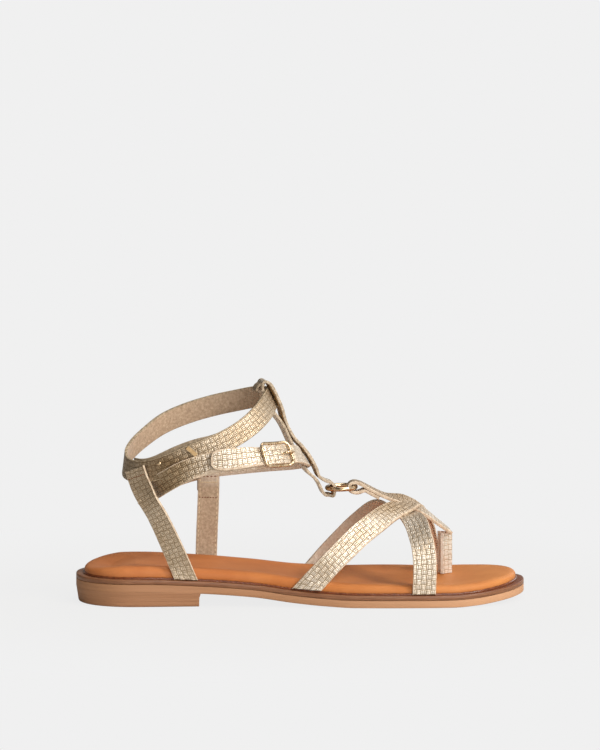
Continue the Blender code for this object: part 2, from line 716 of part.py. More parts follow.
def make_prong(group, material):
    """The prong rises beside the middle bar, through the strap's hole, and rests over the front bar."""
    along, up, out = buckle_axes()
    centre = np.array(BUCKLE_CENTRE)
    over_strap = STRAP_THICKNESS / 2 + GAP + PRONG_WIRE / 2
    front = (BUCKLE_LENGTH - BUCKLE_WIRE) / 2
    over_bar = END_BAR_RISE + BUCKLE_WIRE / 2 + GAP + PRONG_WIRE / 2
    side_view = (
        # along the strap, out of the buckle's face
        (PRONG_ROOT, -MIDDLE_BAR_DEPTH),
        (PRONG_ROOT, over_strap * 0.3),
        (PRONG_ROOT + 0.7, over_strap),
        (PRONG_ROOT + 2.0, over_strap + 0.6),
        (front * 0.62, over_bar + 0.1),
        (front, over_bar + 0.1),
        (front + 1.5, over_bar - 0.5),
    )
    line = [centre + along * a + out * o for a, o in side_view]
    return new_object("buckle_prong", group, material, wire("buckle_prong", line, PRONG_WIRE, False))


def cut_prong_hole(ankle, spare):
    """The hole in the strap that the prong passes through."""
    along, up, out = buckle_axes()
    centre = np.array(BUCKLE_CENTRE) + along * PRONG_ROOT
    depth = out * STRAP_THICKNESS
    slot = [centre - depth * 0.9, centre + depth * 0.2, centre + depth * 1.4 + along * 0.9]
    cutter = new_object("prong_hole", spare, ankle.data.materials[0], wire("prong_hole", slot, HOLE_DIAMETER, False))
    cutter.display_type = "WIRE"
    cutter.hide_render = True
    cut = ankle.modifiers.new("prong_hole", "BOOLEAN")
    cut.operation = "DIFFERENCE"
    cut.solver = "EXACT"
    cut.object = cutter


def build():
    clear_scene()
    parts = new_collection("gladiator_sandal")
    spare = new_collection("cutters", hidden=True)
    tan = principled("outsole_rubber", (0.50, 0.28, 0.15), 0.6)
    brown = principled("rand_leather", (0.25, 0.11, 0.06), 0.4)
    cognac = principled("footbed_leather", (0.52, 0.21, 0.08), 0.55)
    gold_leather = principled("metallic_leather", (0.66, 0.55, 0.40), 0.38, 0.5)
    gold = principled("gilt_metal", (0.90, 0.62, 0.28), 0.2, 1.0)
    make_outsole(parts, tan)
    make_heel(parts, tan)
    make_rand(parts, brown)
    make_footbed(parts, cognac)
    both = (0, -1)
    forefoot = strap("forefoot_straps", parts, gold_leather, CROSS_FRONT, FOREFOOT_WIDTH, level_ends=both)
    cross_back = strap("cross_back", parts, gold_leather, CROSS_BACK, FOREFOOT_WIDTH, level_ends=both)
    join(forefoot, cross_back, spare)
    join(forefoot, strap("toe_strap", parts, gold_leather, TOE_STRAP, TOE_STRAP_WIDTH), spare)
    join(forefoot, make_toe_post(parts, gold_leather), spare)
    make_ring(parts, gold)
    strap(
        "instep_strap",
        parts,
        gold_leather,
        folded_rows(INSTEP, INSTEP_Y),
        INSTEP_WIDTH,
        thickness=INSTEP_THICKNESS,
        per_span=2,
        closed=True,
    )
    ankle = strap("ankle_strap", parts, gold_leather, ANKLE_UPPER, ANKLE_WIDTH, closed=True)
    join(ankle, strap("ankle_lower", parts, gold_leather, ANKLE_LOWER, ANKLE_WIDTH), spare)
    cut_prong_hole(ankle, spare)
    strap("heel_strap_outer", parts, gold_leather, HEEL_OUTER, HEEL_STRAP_WIDTH, level_ends=(0,))
    strap("heel_strap_inner", parts, gold_leather, HEEL_INNER, HEEL_STRAP_WIDTH, level_ends=(0,))
    make_buckle_frame(parts, gold, spare)
    make_prong(parts, gold)


build()
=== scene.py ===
import math

import bpy
import numpy as np
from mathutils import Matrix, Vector


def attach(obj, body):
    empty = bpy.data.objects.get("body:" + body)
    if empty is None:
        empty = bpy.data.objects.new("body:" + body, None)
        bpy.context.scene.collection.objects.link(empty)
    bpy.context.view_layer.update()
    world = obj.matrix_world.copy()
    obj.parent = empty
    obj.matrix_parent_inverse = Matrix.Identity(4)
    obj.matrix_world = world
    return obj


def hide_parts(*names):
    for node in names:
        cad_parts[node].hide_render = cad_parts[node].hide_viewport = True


# Right gladiator sandal. Rows below are in millimetres from the heel's back, with the floor at 0.
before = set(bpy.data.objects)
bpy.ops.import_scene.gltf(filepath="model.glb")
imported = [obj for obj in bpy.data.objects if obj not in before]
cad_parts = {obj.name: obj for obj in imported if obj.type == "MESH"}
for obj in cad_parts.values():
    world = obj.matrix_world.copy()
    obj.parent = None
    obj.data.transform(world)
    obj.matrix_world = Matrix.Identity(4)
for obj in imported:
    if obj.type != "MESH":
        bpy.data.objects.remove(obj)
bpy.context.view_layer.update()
soleMiddle = np.array([125.0, 2.0, 0.0])  # the model's origin, under the middle of the sole


def hexColour(code):
    # sRGB hex to linear light: a twelfth below a low threshold, and about the 2.4 power above it
    parts = np.array([int(code[i:i + 2], 16) for i in (0, 2, 4)]) / 255
    linear = np.where(parts <= 0.04045, parts / 12.92, ((parts + 0.055) / 1.055) ** 2.4)
    return (*[float(v) for v in linear], 1.0)


def addNode(tree, kind, settings=None, links=None):
    # one shader node: settings go to its inputs where one has that name or number, and otherwise to the node
    # itself. Stops are a colour ramp's places, each with its hex colour
    node = tree.nodes.new("ShaderNode" + kind)
    settings = dict(settings or {})
    stops = settings.pop("stops", ())
    for key, value in settings.items():
        if isinstance(key, str) and key not in node.inputs:
            setattr(node, key, value)
    for key, value in settings.items():
        if isinstance(key, int) or key in node.inputs:
            node.inputs[key].default_value = value
    for key, source in (links or {}).items():
        tree.links.new(source, node.inputs[key])
    if stops:
        elements = node.color_ramp.elements
        while len(elements) < len(stops):
            elements.new(0.5)
        for element, (place, colour) in zip(elements, stops):
            element.position = place
            element.color = hexColour(colour)
    return node


def newMaterial(name):
    # an empty material with its node tree and its surface shader
    material = bpy.data.materials.new(name)
    material.use_nodes = True
    tree = material.node_tree
    return material, tree, tree.nodes["Principled BSDF"]


def dress(material, shader, links, values):
    # patterns are linked to the shader's sockets, and what is the same all over is set on them
    for socket, source in links.items():
        material.node_tree.links.new(source, shader.inputs[socket])
    for socket, value in values.items():
        shader.inputs[socket].default_value = value
    return material


def monotoneCurve(at, knots, values):
    # cubic through the knots that never swings past them; slopes are harmonic means of the neighbours
    knots = np.asarray(knots, float)
    values = np.asarray(values, float)
    at = np.clip(np.asarray(at, float), knots[0], knots[-1])
    step = np.diff(knots)
    slope = np.diff(values) / step
    product = slope[:-1] * slope[1:]
    total = slope[:-1] + slope[1:]
    inner = np.where(product > 0, 2 * product / np.where(total == 0, 1, total), 0)
    tangent = np.concatenate([[slope[0]], inner, [slope[-1]]])
    i = np.clip(np.searchsorted(knots, at, side="right") - 1, 0, len(step) - 1)
    t = (at - knots[i]) / step[i]
    start = (1 + 2 * t) * (1 - t) ** 2 * values[i] + t * (1 - t) ** 2 * step[i] * tangent[i]
    return start + t * t * (3 - 2 * t) * values[i + 1] + t * t * (t - 1) * step[i] * tangent[i + 1]


def curveThrough(rows, step, closed=False):
    # centripetal curve: knots spaced by the square root of the distance, each span blended from its four
    # nearest rows in three rounds of straight mixes, then read at even steps along its length
    rows = np.asarray(rows, float)
    if closed:
        padded = np.vstack([rows[-1], rows, rows[0], rows[1]])
    else:
        padded = np.vstack([2 * rows[0] - rows[1], rows, 2 * rows[-1] - rows[-2]])
    reach = np.sqrt(np.linalg.norm(np.diff(padded[:, :3], axis=0), axis=1))
    knots = np.concatenate([[0], np.cumsum(reach)])
    spans = len(padded) - 3

    def at(t):
        # three rounds of straight mixes between neighbouring rows, by the share of each knot interval
        i = np.clip(np.searchsorted(knots, t, side="right") - 1, 1, spans)
        a, b, c, d = (padded[i + k] for k in (-1, 0, 1, 2))
        ta, tb, tc, td = (knots[i + k][:, None] for k in (-1, 0, 1, 2))
        t = t[:, None]
        ab = a + (b - a) * (t - ta) / (tb - ta)
        bc = b + (c - b) * (t - tb) / (tc - tb)
        cd = c + (d - c) * (t - tc) / (td - tc)
        abc = ab + (bc - ab) * (t - ta) / (tc - ta)
        bcd = bc + (cd - bc) * (t - tb) / (td - tb)
        return abc + (bcd - abc) * (t - tb) / (tc - tb)

    fine = np.linspace(knots[1], knots[spans + 1], spans * 24 + 1)
    line = at(fine)[:, :3]
    run = np.concatenate([[0], np.cumsum(np.linalg.norm(np.diff(line, axis=0), axis=1))])
    count = max(3, int(round(run[-1] / step)) + 1)
    along = np.linspace(0, run[-1], count)
    curve = at(np.interp(along, run, fine))
    if closed:
        return curve[:-1], along[:-1], run[-1]
    return curve, along, run[-1]


def gridFaces(rows, columns, closeRows=False, closeColumns=False):
    # four-cornered faces of a grid of points counted row by row; a closed side joins its last to its first
    r = np.arange(rows if closeRows else rows - 1)[:, None]
    c = np.arange(columns if closeColumns else columns - 1)[None, :]
    a = r * columns + c
    b = r * columns + (c + 1) % columns
    d = ((r + 1) % rows) * columns + c
    e = ((r + 1) % rows) * columns + (c + 1) % columns
    return np.stack([a, b, e, d], -1).reshape(-1, 4)


def cornerPlaces(u, v):
    # the four corners of each face, read from two grids of places in the order of gridFaces
    corners = [np.stack([g[:-1, :-1], g[:-1, 1:], g[1:, 1:], g[1:, :-1]], -1) for g in (u, v)]
    return np.stack(corners, -1).reshape(-1, 4, 2)


def meshPiece(name, points, quads, materials, slots=None, rounds=(), place=None, smooth=True):
    # points in millimetres from the heel's back; rounds are many-sided end faces; place is (u, v) per corner
    mesh = bpy.data.meshes.new(name)
    metres = (np.asarray(points, float) - soleMiddle) * 0.001
    faces = [tuple(q) for q in np.asarray(quads).tolist()] + [tuple(r) for r in rounds]
    mesh.from_pydata(metres.tolist(), [], faces)
    for material in materials:
        mesh.materials.append(material)
    if slots is not None:
        every = np.append(np.asarray(slots, np.int32), np.full(len(rounds), len(materials) - 1, np.int32))
        mesh.polygons.foreach_set("material_index", every)
    if place is not None:
        layer = mesh.uv_layers.new(name="strapPlace")
        corners = np.zeros((len(mesh.loops), 2), np.float32)
        corners[:len(place)] = place
        layer.data.foreach_set("uv", corners.ravel())
    mesh.polygons.foreach_set("use_smooth", np.full(len(mesh.polygons), smooth))
    mesh.update()
    piece = bpy.data.objects.new(name, mesh)
    bpy.context.scene.collection.objects.link(piece)
    return piece


def mount(piece, slot, *nodes):
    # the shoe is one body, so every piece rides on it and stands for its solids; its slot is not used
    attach(piece, "root")
    if nodes:
        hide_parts(*nodes)
    return piece


def sweptTube(line, radius, sides=16, closed=False, taper=None):
    # a circle carried along a line: its first direction is square to the line and to one fixed slant
    line = np.asarray(line, float)
    ahead = np.roll(line, -1, 0) - np.roll(line, 1, 0) if closed else np.gradient(line, axis=0)
    ahead /= np.linalg.norm(ahead, axis=1)[:, None]
    guide = np.array([0.13, -0.31, 0.94])
    side = np.cross(ahead, guide)
    side /= np.linalg.norm(side, axis=1)[:, None]
    rise = np.cross(side, ahead)
    angle = np.linspace(0, 2 * math.pi, sides, endpoint=False)
    size = radius * (np.ones(len(line)) if taper is None else taper)
    ring = side[:, None] * np.cos(angle)[:, None] + rise[:, None] * np.sin(angle)[:, None]
    points = line[:, None] + ring * size[:, None, None]
    quads = gridFaces(len(line), sides, closed, True)[:, ::-1]
    rounds = []
    if not closed:
        last = (len(line) - 1) * sides
        rounds = [range(sides), range(last + sides - 1, last - 1, -1)]
    return points.reshape(-1, 3), quads, rounds


# where leather and rubber change tone, nearly all of it painted light and painted shade, in metres on the
# model: an axis, two places along it and the share of the change at each of them
zones = {
    # painted shade round the back of the ankle, partly the strap's own duller tone
    "ankleRearShade": (("X", -0.068, -0.040, 1.0, 0.0), ("X", -0.092, -0.078, 0.35, 1.0),
                  ("Z", 0.055, 0.066, 0.0, 1.0), ("Z", 0.092, 0.082, 0.0, 1.0)),
    # painted shade over the top of the instep straps
    "crestShade": (("Z", 0.046, 0.053, 0.0, 1.0), ("X", 0.015, 0.035, 0.0, 1.0)),
    "toeLiningLight": (("X", -0.02, 0.01, 0.0, 1.0), ("Z", 0.056, 0.034, 0.0, 1.0)),
    "ankleLiningLight": (("Z", 0.084, 0.080, 0.0, 1.0), ("Z", 0.058, 0.062, 0.0, 1.0),
                    ("X", -0.060, -0.045, 0.0, 0.85)),
    "heelToToeLight": (("X", -0.12, 0.11, 0.0, 1.0),),
    "upperFaceShade": (("Z", 0.3, 0.8, 0.0, 0.85),),  # of the surface's own direction, which has no unit
    "toeRandShade": (("X", 0.04, 0.10, 0.0, 1.0),),
    "foreRubberLight": (("X", -0.02, 0.10, 0.0, 0.8),),
}


def placeMask(tree, source, steps, ease="LINEAR"):
    # the product of ramps, each running from one share to another between two places on an axis of the vector
    cut = addNode(tree, "SeparateXYZ", {}, {0: source})
    mask = None
    for axis, first, last, least, most in steps:
        share = addNode(tree, "MapRange",
                        {"interpolation_type": ease, "From Min": first, "From Max": last, "To Min": least,
                         "To Max": most}, {"Value": cut.outputs[axis]}).outputs[0]
        if mask is not None:
            share = addNode(tree, "Math", {"operation": "MULTIPLY"}, {0: mask, 1: share}).outputs[0]
        mask = share
    return mask


def leatherGrain(tree, size, strength):
    # fine pebbled grain: 0.6 of the distance to scattered points plus soft noise. Size is a grain in metres
    where = {"Vector": addNode(tree, "TexCoord").outputs["Object"]}
    grain = addNode(tree, "TexVoronoi", {"Scale": 1 / size, "feature": "F1"}, where)
    soft = addNode(tree, "TexNoise", {"Scale": 0.35 / size, "Detail": 4.0}, where)
    mix = addNode(tree, "Math", {"operation": "MULTIPLY_ADD", 1: 0.6},
                  {0: grain.outputs["Distance"], 2: soft.outputs["Fac"]})
    bump = addNode(tree, "Bump", {"Strength": strength, "Distance": 0.0002},
                   {"Height": mix.outputs[0]})
    return where, soft.outputs["Fac"], bump.outputs[0]


def weaveHeight(tree, block, threads):
    # basket weave on the strap's own place in millimetres: square blocks, each of a few threads, and the
    # threads of one block lie across those of the next. The height, 0 to 1, is a power of the sine over each
    # thread, times a power of the sine along the block
    place = addNode(tree, "UVMap", {"uv_map": "strapPlace"})
    scaled = addNode(tree, "VectorMath", {"operation": "SCALE", "Scale": 1 / block},
                     {0: place.outputs["UV"]})
    cut = addNode(tree, "SeparateXYZ", {}, {0: scaled.outputs[0]})
    known = {"along": cut.outputs["X"], "over": cut.outputs["Y"]}
    for name, operation, *inputs in (
            ("u", "FRACT", "along"), ("v", "FRACT", "over"),
            ("column", "FLOOR", "along"), ("row", "FLOOR", "over"),
            ("both", "ADD", "column", "row"), ("positive", "ADD", "both", 100.0),
            ("odd", "MODULO", "positive", 2.0),
            ("apart", "SUBTRACT", "u", "v"), ("turn", "MULTIPLY", "odd", "apart"),
            ("spread", "ADD", "v", "turn"), ("length", "SUBTRACT", "u", "turn"),
            ("angle", "MULTIPLY", "spread", math.pi * threads), ("sine", "SINE", "angle"),
            ("lobe", "ABSOLUTE", "sine"), ("thread", "POWER", "lobe", 0.6),
            ("sweep", "MULTIPLY", "length", math.pi), ("arch", "SINE", "sweep"),
            ("crown", "POWER", "arch", 0.4), ("groove", "MULTIPLY_ADD", "thread", 0.75, 0.25),
            ("height", "MULTIPLY", "crown", "groove")):
        linked = {i: known[v] for i, v in enumerate(inputs) if isinstance(v, str)}
        fixed = {i: v for i, v in enumerate(inputs) if not isinstance(v, str)}
        known[name] = addNode(tree, "Math", {"operation": operation, **fixed}, linked).outputs[0]
    return known["height"]


def foiledLeather(name, metal, woven, side="d2c2ad", top="f3ece3"):
    # foiled leather: a metal film pressed on in a basket weave. Its colour has a painted highlight on the
    # threads' tops and painted shade, dull and darker, in the grooves. Woven is the depth of the weave, from
    # 0 to 1; side and top colour a thread
    material, tree, shader = newMaterial(name)
    height = weaveHeight(tree, weave["block"], weave["threads"])
    if woven < 1:
        height = addNode(tree, "Math", {"operation": "MULTIPLY_ADD", 1: woven, 2: 0.8 * (1 - woven)},
                         {0: height}).outputs[0]
    where = {"Vector": addNode(tree, "TexCoord").outputs["Object"]}
    cloud = addNode(tree, "TexNoise", {"Scale": 90.0, "Detail": 5.0}, where)
    fleck = addNode(tree, "TexNoise", {"Scale": 1500.0, "Detail": 2.0}, where)
    # painted highlight and shade: dark in the grooves, light on the threads' tops
    tone = addNode(tree, "ValToRGB",
                   {"stops": ((0.0, "5c4a38"), (0.3, "a7957e"), (0.6, side), (1.0, top))}, {"Fac": height})
    patch = addNode(tree, "ValToRGB", {"stops": ((0.3, "d3c4aa"), (0.65, "ffffff"))},
                    {"Fac": cloud.outputs["Fac"]})
    mottleAndShadeMix = {"data_type": "RGBA", "blend_type": "MULTIPLY"}
    colour = addNode(tree, "Mix", {**mottleAndShadeMix, 0: 0.55}, {6: tone.outputs[0], 7: patch.outputs[0]}).outputs[2]
    # painted shade: the strap round the back of the ankle is darker and browner, partly its own duller tone,
    # and the top of the instep straps darker and warmer
    for zone, tint in (("ankleRearShade", "b0a28c"), ("crestShade", "e0d2bf")):
        mask = placeMask(tree, where["Vector"], zones[zone])
        colour = addNode(tree, "Mix", {**mottleAndShadeMix, 7: hexColour(tint)}, {0: mask, 6: colour}).outputs[2]
    rough = addNode(tree, "MapRange",
                    {"From Min": 0.2, "From Max": 0.8, "To Min": 0.30, "To Max": 0.48},
                    {"Value": fleck.outputs["Fac"]})
    bump = addNode(tree, "Bump", {"Strength": 0.8, "Distance": 0.00026}, {"Height": height})
    fine = addNode(tree, "Bump", {"Strength": 0.25, "Distance": 0.0001},
                   {"Height": fleck.outputs["Fac"], "Normal": bump.outputs[0]})
    return dress(material, shader,
                 {"Base Color": colour, "Roughness": rough.outputs[0], "Normal": fine.outputs[0]},
                 {"Metallic": metal})


def suedeLining():
    # split leather lining, napped: matt, mottled and a little fuzzy. It is darker all over and painted
    # lighter in two places, painted light where light falls on it
    material, tree, shader = newMaterial("beige_split_leather_lining")
    where, _, bump = leatherGrain(tree, 0.0007, 0.5)
    blotch = addNode(tree, "TexNoise", {"Scale": 700.0, "Detail": 6.0, "Roughness": 0.7}, where)
    # painted light: the lining is lighter low on the forefoot straps and in a band round the ankle
    paintedLight = addNode(tree, "Math", {"operation": "MAXIMUM"},
                    {0: placeMask(tree, where["Vector"], zones["toeLiningLight"]),
                     1: placeMask(tree, where["Vector"], zones["ankleLiningLight"])})
    darkerLining, litLining = (addNode(tree, "ValToRGB", {"stops": tuple(zip((0.3, 0.5, 0.7), colours))},
                           {"Fac": blotch.outputs["Fac"]}).outputs[0]
                   for colours in (("98816a", "b59d84", "d0baa0"), ("d8c6b2", "eddfcd", "faf0e4")))
    both = addNode(tree, "Mix", {"data_type": "RGBA"}, {0: paintedLight.outputs[0], 6: darkerLining, 7: litLining})
    return dress(material, shader, {"Base Color": both.outputs[2], "Normal": bump},
                 {"Roughness": 0.85, "Sheen Weight": 0.25, "Sheen Roughness": 0.5})


def cutEdge():
    # the strap's cut edge, painted pale and lightly worn
    material, tree, shader = newMaterial("cream_edge_paint")
    where = {"Vector": addNode(tree, "TexCoord").outputs["Object"]}
    noise = addNode(tree, "TexNoise", {"Scale": 500.0, "Detail": 4.0}, where).outputs["Fac"]
    tone = addNode(tree, "ValToRGB", {"stops": ((0.3, "b59c83"), (0.55, "d2bea6"), (0.8, "e4d5c2"))},
                   {"Fac": noise})
    bump = addNode(tree, "Bump", {"Strength": 0.3, "Distance": 0.0001}, {"Height": noise})
    return dress(material, shader, {"Base Color": tone.outputs[0], "Normal": bump.outputs[0]},
                 {"Roughness": 0.55})


def smoothLayer(name, low, high, rough=0.55):
    # dyed grain leather, lightly polished: used for turned edges and inner layers, and for darker and lighter
    # copies of the edge paint and for the crease bead, painted shade and painted light
    material, tree, shader = newMaterial(name)
    _, soft, bump = leatherGrain(tree, 0.0005, 0.3)
    tone = addNode(tree, "ValToRGB", {"stops": ((0.35, low), (0.65, high))}, {"Fac": soft})
    return dress(material, shader, {"Base Color": tone.outputs[0], "Normal": bump}, {"Roughness": rough})


def footbedLeather():
    # smooth cognac cow leather over foam: soft sheen, fine grain, and a colour that changes from heel to toe
    # as painted light
    material, tree, shader = newMaterial("cognac_nappa_leather")
    where, _, bump = leatherGrain(tree, 0.0005, 0.22)
    # painted light: darkest over the arch, lighter at the heel and lightest at the toe
    base = addNode(tree, "ValToRGB", {"stops": ((0.0, "cc824e"), (0.45, "c27840"), (1.0, "d08a4e"))},
                   {"Fac": placeMask(tree, where["Vector"], zones["heelToToeLight"])})
    cloud = addNode(tree, "TexNoise", {"Scale": 60.0, "Detail": 6.0, "Roughness": 0.6}, where)
    patch = addNode(tree, "ValToRGB", {"stops": ((0.3, "dcc2ac"), (0.7, "ffffff"))},
                    {"Fac": cloud.outputs["Fac"]})
    mixed = addNode(tree, "Mix", {"data_type": "RGBA", "blend_type": "MULTIPLY", 0: 0.5},
                    {6: base.outputs[0], 7: patch.outputs[0]})
    return dress(material, shader, {"Base Color": mixed.outputs[2], "Normal": bump},
                 {"Roughness": 0.5, "Specular IOR Level": 0.22})


def randBoard():
    # leather board, dyed brown and burnished with wax, with faint layers along its edge. Its upper face is
    # painted darker and redder ahead of the toes: painted shade under the footbed's edge
    material, tree, shader = newMaterial("brown_burnished_leather_board")
    coords = addNode(tree, "TexCoord")
    flat = addNode(tree, "Mapping", {"Scale": (120.0, 120.0, 2600.0)}, {"Vector": coords.outputs["Object"]})
    fibre = addNode(tree, "TexNoise", {"Scale": 1.0, "Detail": 4.0}, {"Vector": flat.outputs[0]})
    side = addNode(tree, "ValToRGB", {"stops": ((0.3, "6f462d"), (0.55, "895b3d"), (0.8, "a37656"))},
                   {"Fac": fibre.outputs["Fac"]})
    # painted shade: the upward faces of the rand ahead of the toes
    shadedTop = addNode(tree, "Math", {"operation": "MULTIPLY"},
                      {0: placeMask(tree, coords.outputs["Normal"], zones["upperFaceShade"]),
                       1: placeMask(tree, coords.outputs["Object"], zones["toeRandShade"])})
    both = addNode(tree, "Mix", {"data_type": "RGBA", 7: hexColour("6c371b")},
                   {0: shadedTop.outputs[0], 6: side.outputs[0]})
    bump = addNode(tree, "Bump", {"Strength": 0.3, "Distance": 0.0001}, {"Height": fibre.outputs["Fac"]})
    return dress(material, shader, {"Base Color": both.outputs[2], "Normal": bump.outputs[0]},
                 {"Roughness": 0.42})


def soleRubber(name, light, dark, layers):
    # moulded thermoplastic rubber, tan and matt, with a faint run along the mould and fine specks. It is
    # painted lighter ahead of the arch: painted light
    material, tree, shader = newMaterial(name)
    where = {"Vector": addNode(tree, "TexCoord").outputs["Object"]}
    flat = addNode(tree, "Mapping", {"Scale": (22.0, 22.0, layers)}, where)
    run = addNode(tree, "TexNoise", {"Scale": 1.0, "Detail": 3.0}, {"Vector": flat.outputs[0]})
    speck = addNode(tree, "TexNoise", {"Scale": 2200.0, "Detail": 2.0}, where)
    tone = addNode(tree, "ValToRGB", {"stops": ((0.3, dark), (0.6, light))}, {"Fac": run.outputs["Fac"]})
    # painted light: lighter towards the toe
    paintedLight = addNode(tree, "Mix", {"data_type": "RGBA", 7: hexColour("cf9f79")},
                    {0: placeMask(tree, where["Vector"], zones["foreRubberLight"]), 6: tone.outputs[0]})
    bump = addNode(tree, "Bump", {"Strength": 0.25, "Distance": 0.0001}, {"Height": speck.outputs["Fac"]})
    return dress(material, shader, {"Base Color": paintedLight.outputs[2], "Normal": bump.outputs[0]},
                 {"Roughness": 0.62})


def giltMetal():
    # zinc die casting and steel wire with polished gold plate, lightly rubbed
    material, tree, shader = newMaterial("gold_plated_zinc")
    where = {"Vector": addNode(tree, "TexCoord").outputs["Object"]}
    rub = addNode(tree, "TexNoise", {"Scale": 700.0, "Detail": 5.0}, where).outputs["Fac"]
    tone = addNode(tree, "ValToRGB", {"stops": ((0.3, "b8976e"), (0.7, "f3e0c2"))}, {"Fac": rub})
    rough = addNode(tree, "MapRange",
                    {"From Min": 0.3, "From Max": 0.7, "To Min": 0.14, "To Max": 0.30}, {"Value": rub})
    return dress(material, shader, {"Base Color": tone.outputs[0], "Roughness": rough.outputs[0]},
                 {"Metallic": 1.0})


def threadMaterial(name, colour):
    # bonded polyester sewing thread, twisted
    material, tree, shader = newMaterial(name)
    where = {"Vector": addNode(tree, "TexCoord").outputs["Object"]}
    twist = addNode(tree, "TexWave", {"Scale": 900.0, "Distortion": 1.0}, where)
    bump = addNode(tree, "Bump", {"Strength": 0.4, "Distance": 0.0001}, {"Height": twist.outputs["Fac"]})
    return dress(material, shader, {"Normal": bump.outputs[0]},
                 {"Base Color": hexColour(colour), "Roughness": 0.6})


weave = {"block": 2.8, "threads": 3, "relief": 0.10}  # millimetres; a block of three threads
foil = foiledLeather("champagne_foil_leather_embossed", 0.62, 1.0)
plainFoil = foiledLeather("champagne_foil_leather_smooth", 0.6, 0.25)
# a lighter copy of the foil with a shallower weave: painted light, for the toe post, which stands in shade
rubbedLitFoil = foiledLeather("champagne_foil_leather_rubbed_painted_light", 0.45, 0.8, "e8dccb", "ffffff")
# a darker copy of the foil: painted shade, on the upper ankle strap and the near heel strap
shadedFoil = foiledLeather("champagne_foil_leather_painted_shade", 0.62, 1.0, "b3a087", "d9cbb8")
lining = suedeLining()
edge = cutEdge()
# darker copies of the cream edge paint: painted shade, full on the upper ankle strap and the slot tab, half
# on the instep strap
shadeEdge = smoothLayer("cream_edge_painted_shade", "85735a", "bba88d")
paleEdge = smoothLayer("cream_edge_half_painted_shade", "96846c", "cbb9a2")
# a lighter copy of the cream edge paint: painted light, for the toe post's cut edges
litEdge = smoothLayer("cream_edge_painted_light", "ddd0bf", "f4ebde")
# tan leather, lighter than the lining: on the instep strap's inner faces it is painted light where the two
# layers shade each other
tanLayer = smoothLayer("tan_grain_leather", "ac8c60", "cbab7c")
greyLayer = smoothLayer("taupe_grain_leather", "85745d", "a3917a")
cognac = footbedLeather()
# dark brown for the bead in the crease: painted shade
creaseShade = smoothLayer("dark_brown_crease_painted_shade", "5f3018", "7c4224", 0.25)
board = randBoard()
rubber = soleRubber("tan_moulded_rubber", "ae7e5a", "a1734f", 700.0)
stacked = soleRubber("tan_stacked_heel", "a97a57", "9c6e4d", 1500.0)
gilt = giltMetal()
beigeThread = threadMaterial("beige_polyester_thread", "e2cfae")
brownThread = threadMaterial("brown_polyester_thread", "7b4a2c")
print("materials ready")


# the sections run from heel to toe: station, half-width to the outer and the inner side, height of the
# underside, height of the footbed's edge. The swell is (inwards, share of that height), a dip is (x, y,
# width, depth), and a heel layer is (share of the height, how far the wall stands in)
sole = {
    "sections": np.array([
        (0, 29.0, 29.0, 8.6, 6.6),
        (35, 30.5, 30.5, 8.6, 6.9),
        (70, 29.6, 29.4, 7.2, 6.7),
        (97, 30.0, 28.0, 5.2, 6.5),
        (120, 32.8, 30.2, 2.2, 6.4),
        (136, 35.6, 34.8, 0.8, 6.1),
        (154, 38.4, 40.4, 0.0, 5.7),
        (175, 39.8, 43.6, 0.0, 5.3),
        (192, 40.0, 44.0, 0.0, 5.1),
        (208, 39.4, 43.2, 0.0, 5.0),
        (222, 38.6, 42.0, 0.7, 4.9),
        (236, 38.0, 41.0, 2.1, 4.6),
        (250, 38.0, 40.0, 3.7, 4.2),
    ]),
    "length": 250.0,
    "heelRound": 32.0,
    "toeRound": 46.0,
    "heelBluntness": 2.3,
    "toeBluntness": 2.15,
    "toeOffset": 4.0,
    "outsole": 4.1,
    "rand": 2.5,
    "gap": 0.3,
    "breast": 67.5,
    "heelTaper": 1.2,
    "marginSides": 2.9,
    "marginEnds": 4.6,
    "dish": 0.9,
    "archLift": 0.7,
    "heelSlope": 2.6,
    "footbedSwell": ((0.55, 0.0), (0.25, 0.08), (0.06, 0.2), (0.0, 0.33), (0.08, 0.48), (0.35, 0.64),
                     (0.85, 0.78), (1.6, 0.885), (2.6, 0.955), (3.9, 0.99), (5.4, 1.0), (7.4, 0.985)),
    "footbedDips": ((175.0, -38.0, 6.0, 0.5), (207.0, 12.0, 4.5, 0.5), (196.0, 41.0, 7.0, 0.35)),
    "heelLayers": ((0.0, 0.7), (0.03, 0.15), (0.09, 0.0), (0.32, 0.0), (0.335, 0.025), (0.35, 0.0),
                   (0.64, 0.0), (0.655, 0.025), (0.67, 0.0), (0.97, 0.0), (1.0, 0.0)),
    "heelFillet": 1.9,
    "beadRadius": 0.85,
}


def soleColumn(x, column):
    # one column of the sections, read at the stations x through its monotone curve
    return monotoneCurve(x, sole["sections"][:, 0], sole["sections"][:, column])


def randTop(x):
    # the underside's height plus outsole, glued gap and rand
    return soleColumn(x, 3) + sole["outsole"] + sole["gap"] + sole["rand"]


def soleAxis(x):
    # the middle line bends to the inner side by the square of the share of the length
    return sole["toeOffset"] * np.clip(x / sole["length"], 0, 1) ** 2


def endShare(x):
    # the half-width left near an end, a superellipse at the heel and another at the toe
    heel = np.clip((sole["heelRound"] - x) / sole["heelRound"], 0, 1)
    toe = np.clip((x - sole["length"] + sole["toeRound"]) / sole["toeRound"], 0, 1)
    a, b = sole["heelBluntness"], sole["toeBluntness"]
    return (1 - heel**a) ** (1 / a) * (1 - toe**b) ** (1 / b)


